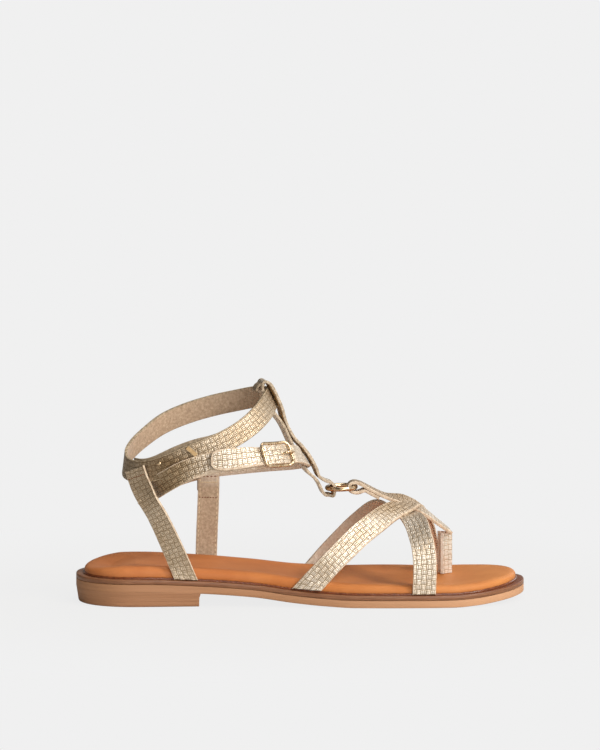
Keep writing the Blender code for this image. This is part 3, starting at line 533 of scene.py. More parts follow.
def soleOutline(last=None, perEnd=40, waist=90):
    # closed outline from the heel's back to the last station: stations bunch up where the ends turn, and each
    # side is the middle line plus or minus the half-width times the end share, out along the outer side and
    # back along the inner
    last = sole["length"] if last is None else last
    quarter = np.linspace(0, math.pi / 2, perEnd)
    heel = sole["heelRound"] * (1 - np.cos(quarter)) ** 1.15
    toe = sole["length"] - sole["toeRound"] * (1 - np.cos(quarter[::-1])) ** 1.15
    middle = np.linspace(sole["heelRound"], sole["length"] - sole["toeRound"], waist)[1:-1]
    x = np.concatenate([heel, middle, toe])
    x = np.append(x[x < last - 0.2], last)
    share = endShare(x)
    axis = soleAxis(x)
    outer = axis - (soleColumn(x, 1) + axis) * share
    inner = axis + (soleColumn(x, 2) - axis) * share
    there = np.stack([x, outer], 1)
    back = np.stack([x, inner], 1)[:0:-1]  # the two sides meet in one point at the heel, and at a round toe
    return np.concatenate([there, back[1:] if share[-1] < 1e-6 else back])


def movedIn(loop, inset):
    # the outline moved inwards along its own normal, which is its direction turned by a quarter
    ahead = np.roll(loop, -1, 0) - np.roll(loop, 1, 0)
    ahead /= np.linalg.norm(ahead, axis=1)[:, None]
    return loop + np.stack([-ahead[:, 1], ahead[:, 0]], 1) * np.reshape(inset, (-1, 1))


def stackRings(name, rings, material):
    # outlines stacked from low to high; the lowest and the highest are closed in strips from side to side,
    # with one face at the heel and one at the toe
    count = len(rings[0])
    half = (count - 1) // 2
    strip = np.arange(1, half)
    quads = [gridFaces(len(rings), count, False, True)]
    rounds = []
    for base in (0, (len(rings) - 1) * count):
        across = base + count - strip
        cap = np.stack([base + strip, base + strip + 1, across - 1, across], 1)
        ends = [(base, base + 1, base + count - 1), tuple(range(base + half, base + count - half + 1))]
        quads.append(cap if base else cap[:, ::-1])
        rounds += ends if base else [e[::-1] for e in ends]
    return meshPiece(name, np.concatenate(rings), np.concatenate(quads), [material], None, rounds)


def atHeight(loop, height):
    # a flat outline raised to one height or to one for each of its points
    return np.column_stack([loop, np.broadcast_to(height, len(loop))])


def endNearness(x):
    # 0 along the waist, and 1 at either end by the 1.5 power of the share of a short run-in
    heel = np.clip(1 - x / 26.0, 0, 1)
    toe = np.clip((x - sole["length"] + 30.0) / 30.0, 0, 1)
    return np.maximum(heel, toe) ** 1.5


def footbedMargin(x):
    # how far the footbed stands in from the outline: one width along the waist, mixed into another at the
    # ends by their nearness
    return sole["marginSides"] + (sole["marginEnds"] - sole["marginSides"]) * endNearness(x)


def makeOutsole():
    # the outline stacked from the underside up: a softened lower edge, a plain wall and a fine moulded line
    loop = soleOutline()
    bottom = soleColumn(loop[:, 0], 3)
    high = sole["outsole"]
    # over the heel the lower edge is square, so the two read as one block
    soft = np.clip((loop[:, 0] - sole["breast"] + 3) / 6, 0.04, 1)
    rings = [(1.1 * soft, 0.0), (0.45 * soft, 0.06), (0.12 * soft, 0.25), (0.0, 0.6), (0.0, high - 0.5),
             (0.04, high - 0.3), (0.0, high - 0.12), (0.1, high)]
    stack = [atHeight(movedIn(loop, inset), bottom + rise) for inset, rise in rings]
    return mount(stackRings("outsole_moulded", stack, rubber), "outsole_rubber", "outsole")


def makeRand():
    # the outline stacked up to a rounded upper edge, then moved inwards to a shallow valley that runs under
    # the footbed's edge
    loop = soleOutline()
    x = loop[:, 0]
    bottom = soleColumn(x, 3) + sole["outsole"] + sole["gap"]
    margin = footbedMargin(x)
    high = sole["rand"]
    rings = [(0.1, 0.0), (0.0, 0.15), (0.0, high - 0.75), (0.08, high - 0.35), (0.3, high - 0.1),
             (0.6, high), (margin - 0.9, high), (margin - 0.2, high - 0.2), (margin + 1.2, high - 0.2)]
    stack = [atHeight(movedIn(loop, inset), bottom + rise) for inset, rise in rings]
    return mount(stackRings("rand_burnished", stack, board), "rand_leather", "rand")


def makeHeel():
    # a low block of pressed layers: the outline shrinks about one point towards the floor, with a hairline
    # between layers, and its front face ends in a small fillet
    loop = soleOutline(last=sole["breast"])
    last = int(np.argmax(loop[:, 0]))
    across = np.linspace(0, 1, 26)[1:-1, None]
    breast = loop[last] + (loop[last + 1] - loop[last]) * across
    loop = np.insert(loop, last + 1, breast, axis=0)
    top = soleColumn(loop[:, 0], 3) - 0.02
    middle = np.array([sole["heelRound"], 0.0])
    half = sole["sections"][0, 1]
    fillet = np.zeros(len(loop))
    fillet[last + 1:last + 25] = sole["heelFillet"] * np.sin(math.pi * across[:, 0]) ** 0.3
    rings = []
    for share, notch in sole["heelLayers"]:
        inset = sole["heelTaper"] * (1 - share) + notch
        small = 1 - inset / half
        shrink = np.stack([np.where(loop[:, 0] > middle[0], 1, small), np.full(len(loop), small)], 1)
        ring = middle + (loop - middle) * shrink
        ring[:, 0] += fillet * share**4
        rings.append(atHeight(ring, top * share))
    count = len(loop)
    points = np.concatenate(rings)
    quads = gridFaces(len(rings), count, False, True)
    base = (len(rings) - 1) * count
    rounds = [tuple(range(count - 1, -1, -1)), tuple(range(base, base + count))]
    return mount(meshPiece("heel_stacked", points, quads, [stacked], None, rounds), "outsole_rubber", "heel")


def makeFootbed():
    # a padded board: its side swells, its edge rolls over, and its middle is dished by rings that shrink
    # towards the middle line. Soft bell-shaped dips stand where the straps and the toe post press in
    loop = soleOutline(perEnd=56, waist=150)
    x = loop[:, 0]
    margin = footbedMargin(x)
    base = randTop(x) + sole["gap"]
    inner = np.where(loop[:, 1] > soleAxis(x), 1.0, -0.4)
    lift = sole["archLift"] * inner * endShare(x)
    edgeHeight = soleColumn(x, 4) + lift - sole["heelSlope"] * np.clip(1 - x / 24, 0, 1) ** 1.2
    side = sole["footbedSwell"]
    rings = [atHeight(movedIn(loop, margin + inwards), base + share * edgeHeight) for inwards, share in side]
    rim = movedIn(loop, margin + side[-1][0])
    for t in (0.25, 0.5, 0.75, 1.0):
        dished = edgeHeight * side[-1][1] * (1 - t) + (edgeHeight - sole["dish"] - 0.4 * lift) * t
        shrunk = np.stack([125 + (rim[:, 0] - 125) * (1 - 0.075 * t),
                           soleAxis(rim[:, 0]) + (rim[:, 1] - soleAxis(rim[:, 0])) * (1 - 0.32 * t)], 1)
        rings.append(atHeight(shrunk, base + dished))
    points = np.concatenate(rings)
    dips = np.zeros(len(points))
    for px, py, wide, deep in sole["footbedDips"]:
        away = (points[:, 0] - px) ** 2 + (points[:, 1] - py) ** 2
        dips += deep * np.exp(-away / (2 * wide**2))
    rise = np.clip((points[:, 2] - randTop(points[:, 0]) - 1.2) / 3, 0, 1)
    points[:, 2] -= dips * rise
    piece = stackRings("footbed_padded", np.split(points, len(rings)), cognac)
    mount(piece, "footbed_leather", "footbed")
    return piece


def makeCrease():
    # a glossy dark brown bead in the corner between the rand and the footbed, its dark colour painted shade
    # in
    # the crease: a tube on the footbed's outline, with two low sine waves in its height
    loop = soleOutline(perEnd=56, waist=150)
    x = loop[:, 0]
    margin = footbedMargin(x)
    wave = 0.12 * np.sin(x * 0.9 + loop[:, 1] * 0.3) + 0.08 * np.sin(x * 2.3)
    line = atHeight(movedIn(loop, margin - 0.1), randTop(x) + 0.30 + wave * 0.5)
    points, quads, _ = sweptTube(line, sole["beadRadius"], 10, closed=True)
    return mount(meshPiece("crease_shade_bead", points, quads, [creaseShade]), "rand_leather")


makeOutsole()
makeHeel()
makeCrease()
makeRand()
makeFootbed()
print("sole ready")


# each row: the middle of the section, the direction across its width and, where given, its share of the width
straps = {
    "crossFront": [
        (127.2, -32.9, 9.9, -0.985, 0.165, 0.06),
        (140.0, -35.0, 24.3, -0.72, -0.10, 0.68),
        (148.4, -32.3, 32.2, -0.70, 0.00, 0.70),
        (157.0, -28.0, 39.7, -0.72, 0.10, 0.66),
        (165.7, -21.0, 45.3, -0.78, 0.20, 0.55),
        (173.6, -12.3, 49.5, -0.84, 0.28, 0.38),
        (182.0, -3.8, 52.2, -0.87, 0.33, 0.28),
        (186.8, 8.6, 52.7, -0.88, 0.34, 0.30),
        (190.6, 22.0, 46.8, -0.90, 0.25, 0.25),
        (195.8, 33.0, 33.5, -0.95, 0.12, 0.20),
        (198.0, 40.7, 19.0, -0.98, 0.05, 0.12),
        (198.0, 42.5, 7.5, -1.0, 0.0, 0.0),
    ],
    "crossBack": [
        (192.2, -38.3, 7.5, -1.0, 0.0, 0.0),
        (192.6, -38.9, 23.5, -0.99, 0.0, 0.05),
        (191.8, -36.4, 33.5, -0.96, 0.05, -0.15),
        (190.0, -30.2, 40.9, -0.90, 0.20, -0.26),
        (187.9, -18.8, 46.0, -0.93, -0.20, -0.22),
        (183.2, -3.1, 48.4, -0.85, -0.52, 0.06),
        (170.4, 10.6, 48.6, -0.57, -0.22, 0.79),
        (159.5, 24.6, 38.8, -0.70, 0.35, 0.62),
        (150.0, 32.4, 28.0, -0.72, 0.15, 0.67),
        (141.0, 36.4, 17.6, -0.76, -0.05, 0.64),
        (133.6, 33.4, 9.6, -0.955, -0.29, 0.09),
    ],
    "toeStrap": [
        (168.6, 3.0, 56.7, 0.0, 0.99, 0.05, 0.96),
        (164.1, 2.5, 59.1, 0.0, 1.0, 0.03, 0.88),
        (160.8, 2.1, 60.5, 0.0, 1.0, 0.0, 0.80),
        (157.4, 1.7, 59.5, 0.0, 1.0, 0.0, 0.76),
        (154.6, 1.5, 59.7, 0.0, 1.0, 0.0, 0.76),
        (152.6, 1.5, 60.8, 0.0, 1.0, 0.0, 0.76),
        (152.0, 1.5, 62.6, 0.0, 1.0, 0.0, 0.76),
        (152.8, 1.5, 64.3, 0.0, 1.0, 0.0, 0.76),
        (155.0, 1.5, 65.2, 0.0, 1.0, 0.0, 0.76),
        (158.4, 1.8, 64.4, 0.0, 1.0, 0.0, 0.78),
        (162.0, 2.1, 62.4, 0.0, 1.0, 0.02, 0.86),
        (168.0, 2.8, 59.1, 0.0, 1.0, 0.03, 0.96),
        (173.0, 3.5, 56.8, 0.0, 1.0, 0.06, 1.0),
        (177.5, 4.1, 55.6, 0.0, 0.98, 0.20, 1.0),
        (182.0, 4.8, 54.6, 0.0, 0.95, 0.31, 1.0),
        (187.0, 5.5, 52.4, 0.0, 0.94, 0.34, 1.0),
        (191.5, 6.6, 49.6, 0.0, 0.95, 0.31, 1.0),
        (196.0, 7.8, 46.1, 0.0, 0.98, 0.16, 1.0),
        (202.0, 9.6, 41.2, 0.0, 0.99, 0.08, 1.0),
        (209.0, 11.8, 35.6, 0.0, 1.0, 0.0, 0.96),
    ],
    "ankleUpper": [
        (108.7, 1.5, 113.0, -0.43, 0.0, 0.90),
        (107.4, 8.6, 112.8, -0.38, -0.03, 0.92),
        (101.6, 15.6, 111.6, -0.20, -0.05, 0.98),
        (91.2, 24.4, 108.4, -0.08, -0.10, 0.99),
        (77.0, 30.8, 104.4, 0.0, -0.14, 0.99),
        (62.5, 32.4, 99.8, 0.0, -0.16, 0.98),
        (50.0, 29.6, 94.8, 0.05, -0.16, 0.98),
        (39.4, 22.4, 88.4, 0.10, -0.15, 0.98),
        (31.2, 12.2, 82.4, 0.12, -0.06, 0.99),
        (27.4, 1.0, 78.2, 0.12, 0.0, 0.99),
        (28.0, -11.0, 75.6, 0.12, 0.04, 0.99),
        (33.0, -20.4, 75.0, 0.10, 0.06, 0.99),
        (41.5, -26.6, 76.4, 0.06, 0.08, 0.99),
        (52.0, -30.2, 80.4, -0.10, 0.10, 0.98),
        (63.0, -31.9, 85.4, -0.25, 0.10, 0.96),
        (75.0, -31.9, 90.2, -0.35, 0.10, 0.93),
        (86.0, -29.2, 95.2, -0.44, 0.12, 0.89),
        (95.0, -24.4, 100.4, -0.52, 0.14, 0.84),
        (102.7, -16.4, 106.4, -0.52, 0.10, 0.84),
        (107.4, -6.6, 111.6, -0.45, 0.03, 0.89),
    ],
    "ankleLower": [
        (111.1, -22.1, 82.8, -0.29, 0.43, 0.86, 0.9),
        (101.7, -28.6, 83.2, -0.25, 0.35, 0.90, 0.95),
        (90.0, -32.4, 82.8, -0.15, 0.15, 0.97, 1.0),
        (75.5, -34.0, 81.6, -0.15, 0.05, 0.99, 1.0),
        (60.0, -33.9, 77.2, -0.35, 0.05, 0.94, 1.0),
        (49.0, -30.4, 70.8, -0.42, 0.05, 0.90, 1.0),
        (41.0, -21.4, 64.6, -0.30, 0.05, 0.95, 1.0),
        (36.2, -9.0, 61.0, -0.10, 0.0, 0.99, 1.0),
        (35.8, 5.0, 59.0, 0.05, 0.0, 1.0, 1.0),
        (40.0, 18.0, 58.6, 0.15, 0.0, 0.99, 1.0),
        (48.4, 27.0, 61.0, 0.20, 0.0, 0.98, 1.0),
        (59.5, 32.0, 65.6, 0.12, -0.05, 0.99, 1.0),
        (73.4, 33.4, 69.0, 0.0, -0.08, 0.99, 1.0),
        (92.0, 31.0, 71.6, 0.0, -0.08, 0.99, 1.0),
        (108.0, 24.6, 74.0, -0.10, -0.05, 0.99, 1.0),
        (119.2, 15.4, 76.0, -0.35, -0.03, 0.93, 1.0),
        (125.6, 8.6, 77.4, -0.52, 0.0, 0.85, 0.96),
        (127.0, 1.5, 78.4, -0.55, 0.0, 0.83, 0.94),
        (126.3, -5.6, 80.4, -0.50, 0.10, 0.85, 0.94),
        (124.2, -12.4, 82.6, -0.40, 0.30, 0.86, 0.92),
        (121.4, -17.6, 83.8, -0.32, 0.40, 0.86, 0.9),
        (119.0, -19.5, 83.9, -0.29, 0.43, 0.86, 0.9),
        (115.3, -23.0, 84.6, -0.29, 0.43, 0.86, 0.96),
        (111.3, -26.0, 84.9, -0.29, 0.43, 0.86, 0.96),
        (107.0, -28.6, 84.9, -0.29, 0.43, 0.86, 0.96),
        (102.3, -30.8, 84.6, -0.29, 0.43, 0.86, 0.9),
        (96.0, -34.0, 84.6, -0.20, 0.30, 0.93, 0.95),
        (88.0, -36.4, 84.2, -0.08, 0.15, 0.98, 1.0),
        (80.0, -37.9, 83.8, 0.0, 0.08, 1.0, 1.0),
        (76.4, -38.3, 83.7, 0.0, 0.06, 1.0, 0.9),
        (74.4, -38.5, 83.6, 0.0, 0.06, 1.0, 0.66),
        (73.6, -38.5, 83.6, 0.0, 0.06, 1.0, 0.36),
    ],
    "heelOuter": [
        (60.2, -28.3, 15.2, 1.0, 0.0, -0.04),
        (53.0, -30.4, 32.5, 0.88, -0.12, -0.45),
        (44.6, -30.6, 50.7, 0.82, -0.32, -0.42),
        (38.2, -28.8, 61.6, 0.82, -0.44, -0.34),
        (34.2, -26.0, 70.4, 0.87, -0.45, -0.20),
        (31.8, -24.8, 77.4, 0.90, -0.44, 0.06),
    ],
    "heelInner": [
        (73.4, 27.6, 14.3, 1.0, 0.0, -0.06),
        (74.0, 29.6, 32.0, 1.0, 0.0, 0.0),
        (74.8, 30.6, 50.0, 1.0, 0.0, 0.0),
        (75.1, 31.1, 62.0, 1.0, 0.0, 0.0),
        (74.9, 30.3, 74.6, 1.0, 0.0, 0.0),
        (74.6, 32.4, 78.4, 1.0, 0.0, 0.0),
        (74.4, 35.2, 75.6, 1.0, 0.0, 0.0),
        (74.8, 36.0, 62.0, 1.0, 0.0, 0.0),
        (74.8, 36.2, 56.0, 1.0, 0.0, 0.0),
    ],
    # the doubled instep strap: its middle line in its own plane, and how far apart its two layers run
    "instep": [
        (104.8, 120.4, 4.4),
        (106.4, 116.8, 5.9),
        (109.2, 110.8, 5.9),
        (111.6, 106.0, 5.0),
        (115.0, 99.0, 2.1),
        (119.2, 90.6, 2.4),
        (123.0, 84.6, 4.8),
        (127.0, 78.4, 5.8),
        (131.0, 72.4, 4.8),
        (134.2, 68.0, 2.4),
        (137.0, 65.0, 4.2),
        (139.8, 62.4, 7.2),
        (141.4, 60.4, 6.6),
        (142.2, 59.2, 3.4),
    ],
    "instepY": 1.5,
    "instepTurn": (0.10, 0.28),  # at its foot and above
    "thickness": 1.8,
    "instepThickness": 1.6,
    "corner": 0.38,
    "step": 0.55,
}


def strapFrames(rows, step, closed, levelEnds):
    # at each step: the middle, the way across the width and the way through the thickness. A level end is
    # cut along its row's own direction
    curve, along, total = curveThrough(rows, step, closed)
    middle = curve[:, :3]
    ahead = np.roll(middle, -1, 0) - np.roll(middle, 1, 0) if closed else np.gradient(middle, axis=0)
    ahead /= np.linalg.norm(ahead, axis=1)[:, None]
    stated = curve[:, 3:6] / np.linalg.norm(curve[:, 3:6], axis=1)[:, None]
    square = stated - ahead * np.sum(stated * ahead, axis=1)[:, None]
    reach = np.linalg.norm(square, axis=1)[:, None]
    square /= reach
    face = np.cross(ahead, square)
    for end, way in levelEnds:
        # the level cut fades out over the strap's first width
        near = np.clip(1 - (along if end == 0 else along[-1] - along) / way, 0, 1)[:, None] ** 0.5
        square = square * (1 - near) + stated / reach * near
    share = curve[:, 6] if curve.shape[1] > 6 else np.ones(len(curve))
    return middle, square, face, share, along, total


def basketRelief(u, v):
    # the crown of each woven block: the root of a sine along the block's own threads
    block = weave["block"]
    a = np.mod(u / block, 1)
    b = np.mod(v / block, 1)
    parity = np.mod(np.floor(u / block) + np.floor(v / block), 2)
    length = np.where(parity > 0.5, b, a)
    return np.sin(math.pi * length) ** 0.5


laid = {}  # each strap's frames, for the pieces that are sewn to it


def makeStrap(name, rows, width, outside, thickness=None, closed=False, levelEnds=(), faces=None,
              swapUntil=0.0, border=(), plain=None, tipBorder=0.0):
    # a flat strap: a section with a foil face, two rounded cut edges and a lining face, carried along the
    # rows. outside is a point that the foil face looks away from; up to swapUntil millimetres the two faces
    # change places
    thickness = straps["thickness"] if thickness is None else thickness
    middle, across, face, share, along, total = strapFrames(rows, straps["step"], closed, levelEnds)
    away = np.sum(face * (middle - np.asarray(outside, float)), axis=1)
    turned = -1.0 if np.sum(away) < 0 else 1.0
    half = width / 2
    r = straps["corner"]
    flat = np.linspace(-1, 1, int(width / 0.55) + 2)
    bend = np.linspace(0, math.pi / 2, 4)
    columns = []  # share of the half-width, millimetres added to it, height, which part
    columns += [(s, -r * s, thickness / 2, 0) for s in flat]
    columns += [(1, -r + r * math.sin(t), thickness / 2 - r + r * math.cos(t), 1) for t in bend[1:]]
    columns += [(1, -r + r * math.cos(t), -thickness / 2 + r - r * math.sin(t), 1) for t in bend]
    columns += [(s, -r * s, -thickness / 2, 2) for s in np.linspace(1, -1, 9)[1:]]
    columns += [(-1, r - r * math.sin(t), -thickness / 2 + r - r * math.cos(t), 1) for t in bend[1:]]
    columns += [(-1, r - r * math.cos(t), thickness / 2 - r + r * math.sin(t), 1) for t in bend[:-1]]
    shape = np.array(columns, float)
    wide = half * share[:, None] * shape[:, 0] + shape[:, 1]
    high = np.broadcast_to(shape[:, 2], wide.shape).copy()
    onFoil = shape[:, 3] == 0
    fade = np.clip((half * share[:, None] - np.abs(wide) - 0.3) / 0.6, 0, 1)
    high += np.where(onFoil, weave["relief"] * fade * (basketRelief(along[:, None], wide + half) - 1), 0)
    high = np.where(along[:, None] < swapUntil, shape[:, 2], high) * turned
    laid[name] = (middle, across, face * turned, along, thickness)
    points = middle[:, None] + across[:, None] * wide[..., None] + face[:, None] * high[..., None]
    n = len(shape)
    count = len(middle)
    quads = gridFaces(count, n, closed, True)
    part = shape[:, 3].astype(int)
    nextPart = np.roll(part, -1)
    between = np.where((part == 0) & (nextPart == 0), 0, np.where((part == 2) & (nextPart == 2), 2, 1))
    lastLining = np.where(part == 2)[0]
    between[lastLining[0] - 1] = 2
    stretches = np.tile(between, (count if closed else count - 1, 1))
    stretches = np.where(along[:len(stretches), None] < swapUntil, np.array([2, 1, 0])[stretches], stretches)
    here = along[:len(stretches), None]
    for lap, first, last in border:
        # the painted edge laps onto the foil by this many columns on its first side, between two places
        lapped = (here > first) & (here < last) & (np.arange(n) < lap)
        stretches = np.where(lapped, 1, stretches)
    if tipBorder:
        # the same paint round the strap's last end, and up its second side
        farSide = (np.arange(n) >= len(flat) - 3) & (np.arange(n) < len(flat)) & (here > along[-1] - 6)
        stretches = np.where(((here > along[-1] - tipBorder) | farSide) & (stretches == 0), 1, stretches)
    if plain:
        # the weave is rubbed flat between these two places
        flatHere = (here > plain[0]) & (here < plain[1])
        stretches = np.where(flatHere & (stretches == 0), 3, stretches)
    slots = stretches.ravel()
    u = np.append(along, total) if closed else along
    cu = np.broadcast_to(u[:, None], (len(u), n + 1))
    cv = np.broadcast_to(np.append(wide[:1], wide[:1, :1], 1) + half, (len(u), n + 1))
    corner = cornerPlaces(cu, cv)
    rounds = [] if closed else [range(n - 1, -1, -1), range((count - 1) * n, count * n)]
    if turned > 0:
        quads = quads[:, ::-1]
        corner = corner[:, ::-1]
        rounds = [tuple(reversed(list(r))) for r in rounds]
    skins = faces or (foil, edge, lining)
    return meshPiece(name, points.reshape(-1, 3), quads, [*skins, plainFoil, skins[1]], slots, rounds,
                     corner.reshape(-1, 2))


def foldedRows(layers, y):
    # closed path of a doubled strap: its middle line moved forwards by half its spread, round its foot, and
    # the same line moved backwards
    spine = np.array([(x, 0.0, z) for x, z, _ in layers])
    ahead = np.gradient(spine, axis=0)
    ahead /= np.linalg.norm(ahead, axis=1)[:, None]
    front = np.stack([-ahead[:, 2], ahead[:, 1], ahead[:, 0]], 1)
    spread = np.array([s for _, _, s in layers])[:, None] / 2
    foot = spine[-1] + ahead[-1] * spread[-1] * 0.9
    head = spine[0] - ahead[0] * spread[0] * 0.9
    path = np.vstack([spine + front * spread, foot, (spine - front * spread)[::-1], head])
    path[:, 1] += y
    # both layers are turned a little, so their linings face the outer side
    low, high = straps["instepTurn"]
    turned = low + (high - low) * np.clip((path[:, 2] - 66) / 12, 0, 1)
    return np.column_stack([path, -turned, np.ones(len(path)), 0 * turned])


footMiddle = (165.0, 0.0, 15.0)
ankleMiddle = (75.0, 0.0, 75.0)
bothEnds = ((0, 9.0), (-1, 9.0))
mount(makeStrap("cross_strap_front", straps["crossFront"], 13.0, footMiddle, levelEnds=bothEnds,
                border=((1, 22, 400),)),
      "metallic_leather", "forefoot_straps")
mount(makeStrap("cross_strap_back", straps["crossBack"], 13.0, footMiddle, levelEnds=bothEnds),
      "metallic_leather", "forefoot_straps")
mount(makeStrap("toe_strap", straps["toeStrap"], 11.0, (165.0, 3.0, 62.5)),
      "metallic_leather", "forefoot_straps")
# its inner faces are tan: painted light where its two layers shade each other
mount(makeStrap("instep_strap_doubled", foldedRows(straps["instep"], straps["instepY"]), 9.5,
                (123.0, 1.5, 86.0), thickness=straps["instepThickness"], closed=True,
                faces=(foil, paleEdge, tanLayer)),
      "metallic_leather", "instep_strap")
mount(makeStrap("ankle_strap_upper", straps["ankleUpper"], 12.0, ankleMiddle, closed=True,
                faces=(shadedFoil, shadeEdge, lining)),
      "metallic_leather", "ankle_strap")
mount(makeStrap("ankle_strap_lower", straps["ankleLower"], 12.0, ankleMiddle,
                border=((2, 274, 400), (6, 0, 36), (4, 0, 44), (2, 0, 52)),
                plain=(240, 262), tipBorder=1.5),
      "metallic_leather", "ankle_strap")
mount(makeStrap("heel_strap_near", straps["heelOuter"], 12.0, (60.0, 0.0, 40.0), levelEnds=((0, 9.0),),
                faces=(shadedFoil, edge, lining)),
      "metallic_leather", "heel_strap_outer")
mount(makeStrap("heel_strap_far", straps["heelInner"], 12.0, (74.0, 33.6, 66.0), levelEnds=((0, 9.0),),
                swapUntil=66.0), "metallic_leather", "heel_strap_inner")
print("straps ready")


post = {
    "ridge": (210.4, 12.0),
    "nearWing": ((205.4, 8.1), (203.8, 9.0)),  # the cut end of each wing, outer corner first
    "farWing": ((202.4, 15.6), (202.9, 14.1)),
    "back": (208.2, 12.1),
    "top": 35.4,
    "foot": 12.1,
}


def makePost():
    # the strap's end folded lengthwise: a plan outline with two wings, carried down to the footbed
    near, far = post["nearWing"], post["farWing"]
    plan = np.array([post["ridge"], near[0], near[1], post["back"], far[1], far[0]])
    names = [0, 1, 2, 2, 1, 0]  # foil outside, cut edges at the wings' ends, lining inside
    perSide = (14, 4, 12, 12, 4, 14)
    outline, slots, place = [], [], []
    run = 0.0
    for k, steps in enumerate(perSide):
        a, b = plan[k], plan[(k + 1) % len(plan)]
        t = np.linspace(0, 1, steps, endpoint=False)[:, None]
        outline.append(a + (b - a) * t)
        slots += [names[k]] * steps
        place.append(run + t[:, 0] * np.linalg.norm(b - a))
        run += np.linalg.norm(b - a)
    outline = np.concatenate(outline)
    place = np.append(np.concatenate(place), run)
    heights = np.arange(post["foot"], post["top"] + 0.01, 0.55)
    n = len(outline)
    points = np.concatenate([atHeight(outline, h) for h in heights])
    quads = gridFaces(len(heights), n, False, True)
    cu = np.broadcast_to(heights[:, None], (len(heights), n + 1))
    cv = np.broadcast_to(place[None], (len(heights), n + 1))
    corner = cornerPlaces(cu, cv)
    base = (len(heights) - 1) * n
    ends = [tuple(range(n)), tuple(range(base + n - 1, base - 1, -1))]
    piece = meshPiece("toe_post_folded", points, quads[:, ::-1], [rubbedLitFoil, litEdge, lining, litEdge],
                      np.tile(slots, len(heights) - 1), ends, corner[:, ::-1].reshape(-1, 2), smooth=False)
    return mount(piece, "metallic_leather", "forefoot_straps")


makePost()
print("toe post ready")


metal = {
    "ringCentre": (148.0, 1.5, 62.2),
    "ringDiameter": 18.4,
    "ringWire": 2.6,
    "ringTilt": -2.0,
    "buckleCentre": (110.7, -26.4, 84.9),
    "buckleTurn": 34.0,
    "bucklePitch": -2.0,
    "buckleLean": 31.0,
    "buckleLength": 20.6,
    "buckleHeight": 15.6,
    "buckleWire": 1.8,
    "endBarRise": 0.9,
    "middleBarDepth": 1.9,
    "middleBarWire": 1.4,
    "prongWire": 1.4,
    "prongRoot": 4.2,
}


def makeRing():
    # a round wire bent into a circle: cosine and sine in its own plane, tipped a little about the foot's
    # width
    angle = np.linspace(0, 2 * math.pi, 96, endpoint=False)
    radius = (metal["ringDiameter"] - metal["ringWire"]) / 2
    flat = np.stack([radius * np.cos(angle), radius * np.sin(angle), 0 * angle], 1)
    tilt = math.radians(metal["ringTilt"])
    turn = np.array([[math.cos(tilt), 0, math.sin(tilt)], [0, 1, 0], [-math.sin(tilt), 0, math.cos(tilt)]])
    line = flat @ turn.T + metal["ringCentre"]
    points, quads, _ = sweptTube(line, metal["ringWire"] / 2, 20, closed=True)
    piece = meshPiece("instep_ring", points, quads, [gilt])
    return mount(piece, "gilt_metal", "ring")


def buckleAxes():
    # unit directions along the strap, up its face and out of it: a turn and a pitch, then a lean about the
    # first of them
    turn, pitch, lean = (math.radians(metal[k]) for k in ("buckleTurn", "bucklePitch", "buckleLean"))
    along = np.array([math.cos(turn) * math.cos(pitch), math.sin(turn) * math.cos(pitch), math.sin(pitch)])
    sideways = np.array([math.sin(turn), -math.cos(turn), 0.0])
    upright = np.cross(along, -sideways)
    up = upright * math.cos(lean) - sideways * math.sin(lean)
    out = sideways * math.cos(lean) + upright * math.sin(lean)
    return along, up, out


